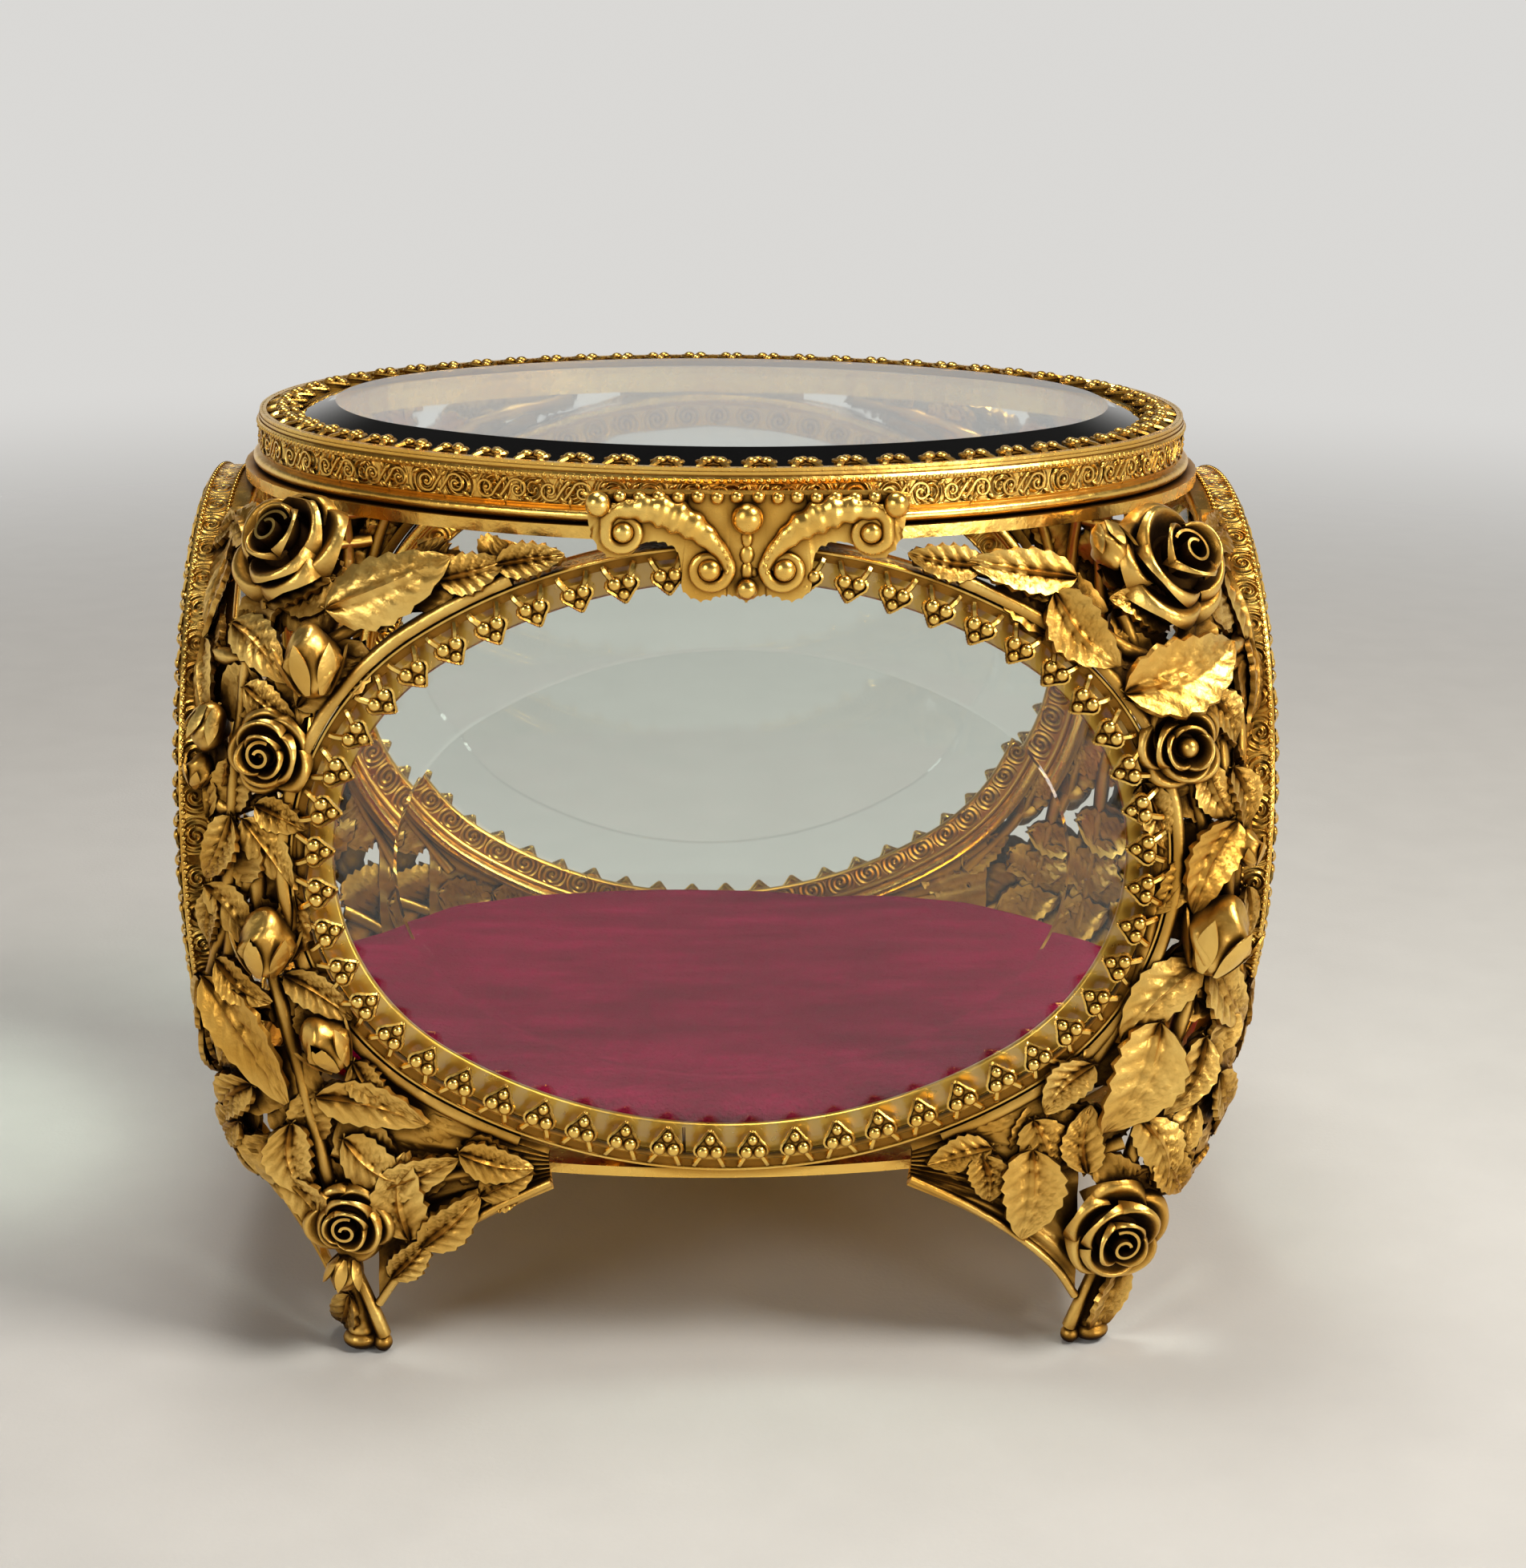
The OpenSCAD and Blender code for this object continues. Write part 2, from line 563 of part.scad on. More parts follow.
// Velvet pad: a crowned oval cushion on its card, with drawn-in sides.
pad_a = box_w / 2 - lace_t - ring_depth - pad_gap;
pad_b = box_d / 2 - lace_t - ring_depth - pad_gap;
pad_r = pad_b - 4;
card_z = floor_z + floor_t;

module pad_card() color(card) translate([0, 0, card_z])
  linear_extrude(card_t) oval(pad_a - 1, pad_b - 1, pad_r - 1);

pad_sides = 48;       // sides of the pad's outline
pad_levels = [[0, -1.2], [0.18, 0], [0.45, 0], [0.75, -1.4], [0.93, -4], [1, -9]];

module velvet_pad() color(velvet) translate([0, 0, card_z + card_t]) {
  n = pad_sides;
  top = (len(pad_levels) - 1) * n;
  polyhedron(
    [for (p = pad_levels, q = oval_line(pad_a, pad_b, pad_r, n, p[1]))
       [q[0], q[1], p[0] * pad_h]],
    concat([[for (j = [0 : n - 1]) j]], [[for (j = [1 : n]) top + n - j]],
      [for (i = [0 : n : top - n], j = [0 : n - 1])
         [i + j, i + n + j, i + n + (j + 1) % n, i + (j + 1) % n]]));
}

lid_band();
lid_crown();
lid_glass();
lid_clasp();
lid_hinge_leaf();
body_hinge_leaf();
hinge_pin();
mouth_ring();
front_window_ring();
front_window_lace();
front_window_glass();
back_window_ring();
back_window_lace();
back_window_glass();
left_window_ring();
left_window_lace();
left_window_glass();
right_window_ring();
right_window_lace();
right_window_glass();
front_left_casting();
front_right_casting();
back_left_casting();
back_right_casting();
floor_plate();
pad_card();
velvet_pad();
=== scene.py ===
"""Dresses an oval glass casket: cast roses, lace crowns, bevelled panes, velvet."""

import logging
import math
from dataclasses import dataclass
from enum import Enum

import bpy
import numpy as np
from mathutils import Matrix


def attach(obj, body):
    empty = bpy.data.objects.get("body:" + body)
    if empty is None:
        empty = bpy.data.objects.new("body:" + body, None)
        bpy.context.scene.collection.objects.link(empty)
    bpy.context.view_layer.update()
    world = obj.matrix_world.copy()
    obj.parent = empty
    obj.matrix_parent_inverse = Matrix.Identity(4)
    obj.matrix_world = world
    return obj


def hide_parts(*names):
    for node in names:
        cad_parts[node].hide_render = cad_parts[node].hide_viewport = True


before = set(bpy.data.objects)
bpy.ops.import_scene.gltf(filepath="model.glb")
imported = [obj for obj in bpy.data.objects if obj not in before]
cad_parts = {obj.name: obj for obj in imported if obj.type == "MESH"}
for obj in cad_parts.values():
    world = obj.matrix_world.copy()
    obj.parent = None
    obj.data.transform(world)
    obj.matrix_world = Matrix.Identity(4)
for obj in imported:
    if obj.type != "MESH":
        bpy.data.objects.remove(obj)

LOG = logging.getLogger("casket")
MM = 0.001
TAU = 2 * math.pi
# An edge stays sharp past FLAT degrees on the panes, and past SOFT degrees on most other pieces.
FLAT = 2.0
SOFT = 50.0

Colour = tuple[float, float, float]
Pairs = tuple[tuple[float, float], ...]
Feed = float | tuple | bpy.types.NodeSocket


class Body(Enum):
    """The two bodies that pieces ride on."""

    BOX = "box"
    LID = "lid"


class Side(Enum):
    """The four window faces."""

    FRONT = "front"
    BACK = "back"
    LEFT = "left"
    RIGHT = "right"


# Shapes


def unit(v: np.ndarray) -> np.ndarray:
    """Returns v at length one, row by row."""
    v = np.asarray(v, float)
    return v / (np.linalg.norm(v, axis=-1, keepdims=True) + 1e-12)


class Shape:
    """Points and faces in millimetres, gathered before they become one mesh."""

    def __init__(self) -> None:
        self.parts: list[np.ndarray] = []
        self.faces: list[tuple[int, ...]] = []
        self.uvs: list[np.ndarray] = []
        self.count = 0

    def add(self, verts: np.ndarray, faces: list, uv: np.ndarray | None = None) -> "Shape":
        """Adds points and faces.

        Args:
            verts: N by 3 points.
            faces: tuples of indices into verts.
            uv: N by 2 surface coordinates in millimetres, or None.
        Returns:
            This shape.
        """
        v = np.asarray(verts, float).reshape(-1, 3)
        self.faces += [tuple(int(i) + self.count for i in f) for f in faces]
        self.parts.append(v)
        self.uvs.append(np.zeros((len(v), 2)) if uv is None else np.asarray(uv).reshape(-1, 2))
        self.count += len(v)
        return self

    def join(self, other: "Shape", place: "Placing | None" = None) -> "Shape":
        """Adds another shape, moved by a placing.

        Args:
            other: the other shape.
            place: where it goes, or None to leave it.
        Returns:
            This shape.
        """
        pts = other.points()
        return self.add(pts if place is None else place.put(pts), other.faces,
                        np.vstack(other.uvs))

    def points(self) -> np.ndarray:
        """All points so far."""
        return np.vstack(self.parts)

    def mirrored(self, flip_x: bool, turn: bool) -> "Shape":
        """A copy mirrored in X, then turned half round about Z.

        Args:
            flip_x: whether it is mirrored.
            turn: whether it is turned.
        Returns:
            The copy.
        """
        v = self.points().copy()
        if flip_x:
            v[:, 0] *= -1
        if turn:
            v[:, :2] *= -1
        faces = [f[::-1] for f in self.faces] if flip_x else list(self.faces)
        return Shape().add(v, faces, np.vstack(self.uvs))


@dataclass(frozen=True)
class Placing:
    """A turned and moved place, with columns x, y and z."""

    turn: np.ndarray
    at: np.ndarray

    def put(self, pts: np.ndarray) -> np.ndarray:
        """Moves points from the local place to the box."""
        return pts @ self.turn.T + self.at


def skin(rows: int, sides: int, low: bool = True, high: bool = True) -> list[tuple[int, ...]]:
    """Faces over rows of points that each close into a ring.

    Args:
        rows: how many rings, one after the other.
        sides: points in each ring.
        low: whether a cap closes the first ring.
        high: whether a cap closes the last ring.
    Returns:
        The faces, which point outwards where the rings run anticlockwise and rise.
    """
    faces = [(k + i, k + (i + 1) % sides, k + sides + (i + 1) % sides, k + sides + i)
             for k in range(0, (rows - 1) * sides, sides) for i in range(sides)]
    if low:
        faces.append(tuple(range(sides))[::-1])
    if high:
        faces.append(tuple(range((rows - 1) * sides, rows * sides)))
    return faces


def shell(top: np.ndarray, thick: np.ndarray | float) -> tuple[np.ndarray, list]:
    """A closed thin sheet under a grid of points.

    Args:
        top: n by m by 3 points of the upper face.
        thick: thickness in millimetres, one number or an n by m array.
    Returns:
        Points and faces.
    """
    n, m, _ = top.shape
    normal = unit(np.cross(np.gradient(top, axis=0), np.gradient(top, axis=1)))
    depth = np.broadcast_to(np.asarray(thick, float), (n, m))[..., None]
    under = top - normal * depth
    idx = np.arange(n * m).reshape(n, m)
    off = n * m
    faces = []
    for i in range(n - 1):
        for j in range(m - 1):
            a, b, c, d = idx[i, j], idx[i + 1, j], idx[i + 1, j + 1], idx[i, j + 1]
            faces.append((a, b, c, d))
            faces.append((d + off, c + off, b + off, a + off))
    loop = [*idx[:, 0], *idx[-1, 1:], *idx[-2::-1, -1], *idx[0, -2:0:-1]]
    for a, b in zip(loop, loop[1:] + loop[:1]):
        faces.append((b, a, a + off, b + off))
    return np.vstack([top.reshape(-1, 3), under.reshape(-1, 3)]), faces


def tube(path: np.ndarray, radii: np.ndarray | float, sides: int = 8, flat: float = 1.0,
         up: tuple[float, float, float] = (0, 0, 1)) -> tuple[np.ndarray, list]:
    """A closed tube along a path.

    Args:
        path: k by 3 points.
        radii: one radius or one for each point.
        sides: sides of its section.
        flat: height of the section as a share of its width.
        up: the direction that the section's height follows.
    Returns:
        Points and faces.
    """
    path = np.asarray(path, float)
    k = len(path)
    radii = np.broadcast_to(np.asarray(radii, float), (k,))
    along = unit(np.gradient(path, axis=0))
    side = unit(np.cross(along, np.asarray(up, float)))
    lift = np.cross(side, along)
    ang = np.arange(sides) * TAU / sides
    ring = (np.cos(ang)[None, :, None] * side[:, None, :]
            + flat * np.sin(ang)[None, :, None] * lift[:, None, :])
    pts = path[:, None, :] + ring * radii[:, None, None]
    return pts.reshape(-1, 3), [f[::-1] for f in skin(k, sides)]


def ball(at: tuple, radii: tuple, rings: int = 8, sides: int = 12) -> tuple[np.ndarray, list]:
    """A closed ellipsoid round a point.

    Args:
        at: the point.
        radii: half its size along x, y and z.
        rings: bands from pole to pole.
        sides: points round each band.
    Returns:
        Points and faces.
    """
    pts = [(0.0, 0.0, -1.0)]
    for i in range(1, rings):
        t = -math.pi / 2 + math.pi * i / rings
        for j in range(sides):
            a = TAU * j / sides
            pts.append((math.cos(t) * math.cos(a), math.cos(t) * math.sin(a), math.sin(t)))
    pts.append((0.0, 0.0, 1.0))
    faces = [(0, 1 + (j + 1) % sides, 1 + j) for j in range(sides)]
    faces += [tuple(q + 1 for q in f) for f in skin(rings - 1, sides, False, False)]
    last, base = len(pts) - 1, 1 + (rings - 2) * sides
    faces += [(last, base + j, base + (j + 1) % sides) for j in range(sides)]
    return np.array(pts) * np.array(radii) + np.array(at), faces


def smooth_path(points: list, steps: int = 8) -> np.ndarray:
    """A smooth curve through points (Catmull-Rom).

    Args:
        points: the points.
        steps: points to each stretch between two of them.
    Returns:
        The finer path.
    """
    p = np.asarray(points, float)
    p = np.vstack([2 * p[0] - p[1], p, 2 * p[-1] - p[-2]])
    out = []
    for i in range(1, len(p) - 2):
        for t in np.linspace(0, 1, steps, endpoint=False):
            a, b, c, d = p[i - 1], p[i], p[i + 1], p[i + 2]
            out.append(0.5 * (2 * b + (c - a) * t + (2 * a - 5 * b + 4 * c - d) * t ** 2
                              + (3 * b - a - 3 * c + d) * t ** 3))
    out.append(p[-2])
    return np.array(out)


def resample(path: np.ndarray, count: int) -> np.ndarray:
    """Evenly spaced points along a path.

    Args:
        path: the points.
        count: how many to give.
    Returns:
        The new points.
    """
    steps = np.r_[0, np.cumsum(np.linalg.norm(np.diff(path, axis=0), axis=1))]
    want = np.linspace(0, steps[-1], count)
    return np.stack([np.interp(want, steps, path[:, i]) for i in range(3)], 1)


def spiral(at: tuple, r0: float, r1: float, start: float, turns: float, steps: int = 26) -> np.ndarray:
    """A flat spiral.

    Args:
        at: its middle.
        r0: first radius.
        r1: last radius.
        start: first direction, in degrees.
        turns: whole turns, anticlockwise.
        steps: how many points.
    Returns:
        The points.
    """
    a = math.radians(start) + np.linspace(0, turns * TAU, steps)
    r = np.linspace(r0, r1, steps)
    return np.stack([at[0] + r * np.cos(a), at[1] + r * np.sin(a), np.full(steps, 0.0)], 1)


@dataclass(frozen=True)
class Oval:
    """An oval of four arcs: half width a, half depth b, end radius r."""

    a: float
    b: float
    r: float

    @property
    def big(self) -> float:
        """Radius of the two flatter arcs."""
        return ((self.a - self.r) ** 2 + self.b ** 2 - self.r ** 2) / (2 * (self.b - self.r))

    @property
    def turn(self) -> float:
        """Direction of the normal, in radians, where the arcs meet."""
        return math.atan2(self.big - self.b, self.a - self.r)

    def inset(self, d: float) -> "Oval":
        """The oval that lies d further in."""
        return Oval(self.a - d, self.b - d, self.r - d)

    def at(self, d: float) -> tuple[float, float]:
        """The point where the outward normal has a given direction.

        Args:
            d: the direction of the outward normal, in radians.
        Returns:
            Its two coordinates.
        """
        sx = 1 if math.cos(d) >= 0 else -1
        sy = 1 if math.sin(d) >= 0 else -1
        c, s = abs(math.cos(d)), abs(math.sin(d))
        q = math.atan2(s, c)
        if q < self.turn:
            return sx * (self.a - self.r + self.r * c), sy * self.r * s
        return sx * self.big * c, sy * (self.big * s - self.big + self.b)

    def samples(self, count: int, shift: float = 0.0) -> tuple[np.ndarray, np.ndarray, float]:
        """Evenly spaced points.

        Args:
            count: how many.
            shift: start, as a share of one space.
        Returns:
            Points (count by 2), normal directions in radians, and the whole length.
        """
        l1 = self.r * self.turn
        l2 = self.big * (math.pi / 2 - self.turn)
        quarter = l1 + l2
        total = 4 * quarter
        dirs = []
        for i in range(count):
            s = (i + shift) * total / count % total
            k, q = divmod(s, quarter)
            if k % 2:
                q = quarter - q
            d = q / self.r if q < l1 else self.turn + (q - l1) / self.big
            dirs.append([d, math.pi - d, math.pi + d, TAU - d][int(k)])
        pts = np.array([self.at(d) for d in dirs])
        return pts, np.array(dirs), total


def sweep(oval: Oval, profile: list, count: int = 192) -> Shape:
    """A closed profile of (out, up) pairs carried round an oval.

    Args:
        oval: the path.
        profile: pairs of millimetres, anticlockwise with out to the right.
        count: sections round the oval.
    Returns:
        The shape, with surface coordinates in millimetres.
    """
    pts, dirs, total = oval.samples(count)
    prof = np.asarray(profile, float)
    k = len(prof)
    away = np.stack([np.cos(dirs), np.sin(dirs)], 1)
    xy = pts[:, None, :] + away[:, None, :] * prof[None, :, 0, None]
    z = np.broadcast_to(prof[None, :, 1, None], (count, k, 1))
    verts = np.concatenate([xy, z], 2).reshape(-1, 3)
    steps = np.r_[0, np.cumsum(np.linalg.norm(np.diff(prof, axis=0), axis=1))]
    uv = np.stack(np.meshgrid(np.arange(count) * total / count, steps, indexing="ij"), 2)
    faces = []
    for i in range(count):
        j = (i + 1) % count
        for q in range(k):
            p = (q + 1) % k
            faces.append((i * k + q, j * k + q, j * k + p, i * k + p))
    return Shape().add(verts, faces, uv)


def plate(guide: Oval, rings: list[tuple[Oval, float]], count: int = 192) -> Shape:
    """A plate through level ovals, closed below and above.

    Args:
        guide: the oval whose even spacing gives the directions.
        rings: each oval with its height, from below.
        count: points in each ring.
    Returns:
        The shape.
    """
    _, dirs, _ = guide.samples(count)
    rows = np.array([[(*oval.at(d), z) for d in dirs] for oval, z in rings])
    return Shape().add(rows, skin(len(rings), count))


# Finishes


class Nodes:
    """A small hand for wiring the nodes of a material or a world."""

    def __init__(self, owner: bpy.types.Material | bpy.types.World) -> None:
        owner.use_nodes = True
        self.tree = owner.node_tree
        self.tree.nodes.clear()

    def new(self, kind: str, **values: object) -> bpy.types.Node:
        """Adds a node and sets its properties.

        Args:
            kind: the node's type in Blender.
            values: its properties.
        Returns:
            The node.
        """
        node = self.tree.nodes.new(kind)
        for key, value in values.items():
            setattr(node, key, value)
        return node

    def feed(self, socket: bpy.types.NodeSocket, value: Feed) -> None:
        """Fills a socket.

        Args:
            socket: the input.
            value: a number, a colour of three numbers, or an output to link.
        """
        if isinstance(value, bpy.types.NodeSocket):
            self.tree.links.new(value, socket)
        elif isinstance(value, tuple):
            socket.default_value = (*value, 1)
        else:
            socket.default_value = value

    def math(self, op: str, a: Feed, b: Feed = 0.0, clamp: bool = False) -> bpy.types.NodeSocket:
        """A math node.

        Args:
            op: the operation's name in Blender.
            a: first number or output.
            b: second number or output.
            clamp: whether the result stays between 0 and 1.
        Returns:
            The result's socket.
        """
        node = self.new("ShaderNodeMath", operation=op, use_clamp=clamp)
        self.feed(node.inputs[0], a)
        self.feed(node.inputs[1], b)
        return node.outputs[0]

    def scaled(self, value: Feed, by: float, plus: float = 0.0) -> bpy.types.NodeSocket:
        """A value times one number, plus another."""
        return self.math("ADD", self.math("MULTIPLY", value, by), plus)

    def tint(self, share: Feed, under: Feed, over: Feed) -> bpy.types.NodeSocket:
        """Two colours mixed.

        Args:
            share: 0 gives the first colour, 1 the second.
            under: the first colour.
            over: the second colour.
        Returns:
            The mixed colour's socket.
        """
        node = self.new("ShaderNodeMix", data_type="RGBA")
        for socket, value in ((0, share), (6, under), (7, over)):
            self.feed(node.inputs[socket], value)
        return node.outputs[2]

    def eased(self, value: Feed, least: float, most: float) -> bpy.types.NodeSocket:
        """A smooth step from 0 to 1.

        Args:
            value: what is stepped.
            least: where the step starts.
            most: where it ends.
        Returns:
            The step's socket.
        """
        node = self.new("ShaderNodeMapRange", interpolation_type="SMOOTHSTEP")
        for key, fill in (("Value", value), ("From Min", least), ("From Max", most)):
            self.feed(node.inputs[key], fill)
        return node.outputs["Result"]


class Surface(Nodes):
    """A material with one Principled shader."""

    def __init__(self, name: str) -> None:
        self.mat = bpy.data.materials.new(name)
        super().__init__(self.mat)
        self.out = self.new("ShaderNodeOutputMaterial").inputs[0]
        self.bsdf = self.new("ShaderNodeBsdfPrincipled")
        self.feed(self.out, self.bsdf.outputs[0])

    def set(self, **values: Feed) -> None:
        """Fills the shader's inputs, with an underscore for each space in a name."""
        for key, value in values.items():
            self.feed(self.bsdf.inputs[key.replace("_", " ")], value)

    def noise(self, scale: float, detail: float,
              stretch: tuple[float, ...] = (1, 1, 1)) -> bpy.types.NodeSocket:
        """Noise over the object's own coordinates.

        Args:
            scale: waves in a metre.
            detail: how many finer layers it has.
            stretch: further waves along x, y and z.
        Returns:
            The noise, between 0 and 1.
        """
        mapping = self.new("ShaderNodeMapping")
        mapping.inputs["Scale"].default_value = stretch
        node = self.new("ShaderNodeTexNoise")
        self.feed(node.inputs["Scale"], scale)
        self.feed(node.inputs["Detail"], detail)
        self.feed(mapping.inputs["Vector"], self.new("ShaderNodeTexCoord").outputs["Object"])
        self.feed(node.inputs["Vector"], mapping.outputs[0])
        return node.outputs["Fac"]

    def ramp(self, fac: bpy.types.NodeSocket, *stops: tuple[float, Colour]) -> bpy.types.NodeSocket:
        """A colour ramp.

        Args:
            fac: the value that picks the colour.
            stops: a position and a colour for each stop, in order.
        Returns:
            The colour's socket.
        """
        node = self.new("ShaderNodeValToRGB")
        first, last = node.color_ramp.elements
        for stop, (place, colour) in zip((first, last), (stops[0], stops[-1])):
            stop.position, stop.color = place, (*colour, 1)
        for place, colour in stops[1:-1]:
            node.color_ramp.elements.new(place).color = (*colour, 1)
        self.feed(node.inputs[0], fac)
        return node.outputs[0]

    def bump(self, height: bpy.types.NodeSocket, distance: float,
             under: bpy.types.NodeSocket | None = None) -> bpy.types.NodeSocket:
        """Bump from a height.

        Args:
            height: the height, as a share of distance.
            distance: its full depth in metres.
            under: an earlier bump that it lies on.
        Returns:
            The normal's socket.
        """
        node = self.new("ShaderNodeBump")
        self.feed(node.inputs["Distance"], distance)
        self.feed(node.inputs["Strength"], 1.0)
        self.feed(node.inputs["Height"], height)
        if under is not None:
            self.feed(node.inputs["Normal"], under)
        return node.outputs[0]

    def faded(self, share: Feed, clear: Colour) -> None:
        """Mixes the shader with a clear one.

        Args:
            share: how much of the clear one shows.
            clear: the clear one's colour.
        """
        through = self.new("ShaderNodeBsdfTransparent")
        self.feed(through.inputs[0], clear)
        mix = self.new("ShaderNodeMixShader")
        for socket, value in enumerate((share, self.bsdf.outputs[0], through.outputs[0])):
            self.feed(mix.inputs[socket], value)
        self.feed(self.out, mix.outputs[0])


@dataclass(frozen=True)
class Gilt:
    """Gilded cast metal with dark hollows.

    The colours run from the open gilding, through amber that is painted bounce light, to painted
    shade in the hollows that ambient occlusion finds. reach is how wide those hollows are, in
    metres, deep how dark the painted shade gets, grain the depth of the casting's skin, and scroll
    the height of a row of scrolls over the piece's own coordinates, in millimetres, or 0 for none;
    the scrolls' sunken turns get painted shade as well.
    The worn patches, the clouds in the gloss, the pits and the swells are in waves to a metre.
    """

    name: str
    bright: Colour = (0.99, 0.66, 0.165)
    worn: Colour = (0.86, 0.47, 0.08)
    # The next two colours are laid into the hollows by ambient occlusion: painted bounce light, then painted
    # shade.
    amber: Colour = (0.62, 0.29, 0.035)
    painted_shade: Colour = (0.030, 0.014, 0.005)
    rough: float = 0.25
    reach: float = 0.002
    deep: float = 1.5
    grain: float = 0.00007
    scroll: float = 0.0
    pitch: float = 5.2
    engraving: float = 0.0004
    patches: float = 55.0
    clouds: float = 420.0
    pits: float = 900.0
    swells: float = 160.0

    def make(self) -> bpy.types.Material:
        """Builds the material.

        Returns:
            The material.
        """
        n = Surface(self.name)
        gilding = n.ramp(n.noise(self.patches, 4), (0.35, self.worn), (0.62, self.bright))
        # Ambient occlusion finds the hollows, which get painted shade and, on the way there, painted bounce
        # light.
        ao = n.new("ShaderNodeAmbientOcclusion", samples=6)
        ao.inputs["Distance"].default_value = self.reach
        closed = n.math("SUBTRACT", 1.0, n.math("POWER", ao.outputs["AO"], 1.3))
        painted_shade_mask = n.math("MULTIPLY", closed, self.deep, clamp=True)
        warm = n.tint(n.math("MULTIPLY", painted_shade_mask, 2.4, clamp=True), gilding, self.amber)
        colour = n.tint(n.math("POWER", painted_shade_mask, 1.6), warm, self.painted_shade)
        rough = n.scaled(n.noise(self.clouds, 3), 0.22, self.rough - 0.10)
        rough = n.math("ADD", rough, n.math("MULTIPLY", painted_shade_mask, 0.35), clamp=True)
        normal = n.bump(n.noise(self.pits, 4), self.grain)
        normal = n.bump(n.noise(self.swells, 2), self.grain * 3, normal)
        if self.scroll:
            wave = self.frieze(n)
            normal = n.bump(wave, self.engraving, normal)
            # The sunken turns of the scrolls get painted shade.
            colour = n.tint(n.math("MULTIPLY", wave, -0.8, clamp=True), colour, self.painted_shade)
        n.set(Metallic=1.0, Base_Color=colour, Roughness=rough, Normal=normal)
        return n.mat

    def frieze(self, n: Surface) -> bpy.types.NodeSocket:
        """A running row of scrolls over the piece's own coordinates.

        Args:
            n: the material.
        Returns:
            Its height, from -1 to 1.
        """
        split = n.new("ShaderNodeSeparateXYZ")
        n.feed(split.inputs[0], n.new("ShaderNodeUVMap", uv_map="mm").outputs[0])
        cell = n.math("DIVIDE", split.outputs[0], self.pitch * MM)
        u = n.math("MULTIPLY", n.math("SUBTRACT", n.math("FRACT", cell), 0.5), self.pitch)
        odd = n.scaled(n.math("MODULO", n.math("FLOOR", cell), 2.0), 2.0, -1.0)
        v = n.math("MULTIPLY", n.scaled(split.outputs[1], 1 / MM, -self.scroll), odd)
        r = n.math("SQRT", n.math("ADD", n.math("MULTIPLY", u, u), n.math("MULTIPLY", v, v)))
        turn = n.math("DIVIDE", n.math("ARCTAN2", v, u), TAU)
        wave = n.math("SINE", n.math("MULTIPLY", n.math("SUBTRACT", n.math("DIVIDE", r, 0.95), turn), TAU))
        inside = n.math("SUBTRACT", 1.0, n.math("DIVIDE", r, 2.6), clamp=True)
        field = n.math("MULTIPLY", n.math("SUBTRACT", 1.7, n.math("ABSOLUTE", v)), 4.0, clamp=True)
        return n.math("MULTIPLY", field, n.math("MULTIPLY", wave, n.math("POWER", inside, 0.5)))


@dataclass(frozen=True)
class Glass:
    """Clear bevelled glass that lets light through to the velvet."""

    name: str
    tint: Colour = (0.93, 0.985, 0.965)
    shade: Colour = (0.9, 0.95, 0.93)

    def make(self) -> bpy.types.Material:
        """Builds the material.

        Returns:
            The material.
        """
        n = Surface(self.name)
        n.set(Base_Color=self.tint, Transmission_Weight=1.0, IOR=1.5,
              Roughness=n.math("MULTIPLY", n.noise(90, 2), 0.03), Normal=n.bump(n.noise(30, 2), 0.00003))
        n.faded(n.new("ShaderNodeLightPath").outputs["Is Shadow Ray"], self.shade)
        return n.mat


@dataclass(frozen=True)
class Velvet:
    """Short-piled velvet with brushed streaks.

    The strokes, the pile and the nap are in waves to a metre; brushed is how much finer the
    strokes are along y than along x.
    """

    name: str
    deep: Colour = (0.062, 0.0003, 0.008)
    middle: Colour = (0.128, 0.0010, 0.020)
    raised: Colour = (0.22, 0.0025, 0.040)
    sheen: Colour = (0.75, 0.07, 0.22)
    strokes: float = 60.0
    brushed: float = 3.6
    pile: float = 1300.0
    nap: float = 1900.0

    def make(self) -> bpy.types.Material:
        """Builds the material.

        Returns:
            The material.
        """
        n = Surface(self.name)
        streaks = n.math("ADD", n.math("MULTIPLY", n.noise(self.strokes, 6, (1, self.brushed, 1)), 0.58),
                         n.math("MULTIPLY", n.noise(self.pile, 4, (1, 1.4, 1)), 0.42))
        colour = n.ramp(streaks, (0.28, self.deep), (0.52, self.middle), (0.76, self.raised))
        fibres = n.bump(n.noise(self.nap, 3), 0.00035)
        n.set(Base_Color=colour, Sheen_Weight=0.05, Sheen_Roughness=0.35, Sheen_Tint=self.sheen,
              Specular_IOR_Level=0.0, Roughness=n.scaled(n.noise(300, 2), 0.1, 0.82),
              Normal=n.bump(streaks, 0.0007, fibres))
        return n.mat


@dataclass(frozen=True)
class Plain:
    """A quiet finish for the card and the floor.

    near and far, in metres from the middle, are where the floor starts to fade into the pale
    surroundings and where it is gone. A far of 0 doesn't fade.
    """

    name: str
    colour: Colour
    rough: float = 0.85
    near: float = 0.0
    far: float = 0.0

    def make(self) -> bpy.types.Material:
        """Builds the material.

        Returns:
            The material.
        """
        n = Surface(self.name)
        dull = tuple(c * 0.96 for c in self.colour)
        n.set(Base_Color=n.ramp(n.noise(70, 3), (0.3, dull), (0.7, self.colour)),
              Roughness=n.scaled(n.noise(200, 2), 0.08, self.rough),
              Normal=n.bump(n.noise(1500, 2), 0.00004))
        if self.far:
            reach = n.new("ShaderNodeVectorMath", operation="LENGTH")
            n.feed(reach.inputs[0], n.new("ShaderNodeTexCoord").outputs["Object"])
            n.faded(n.eased(reach.outputs["Value"], self.near, self.far), (1.0, 1.0, 1.0))
        return n.mat


# Making and riding


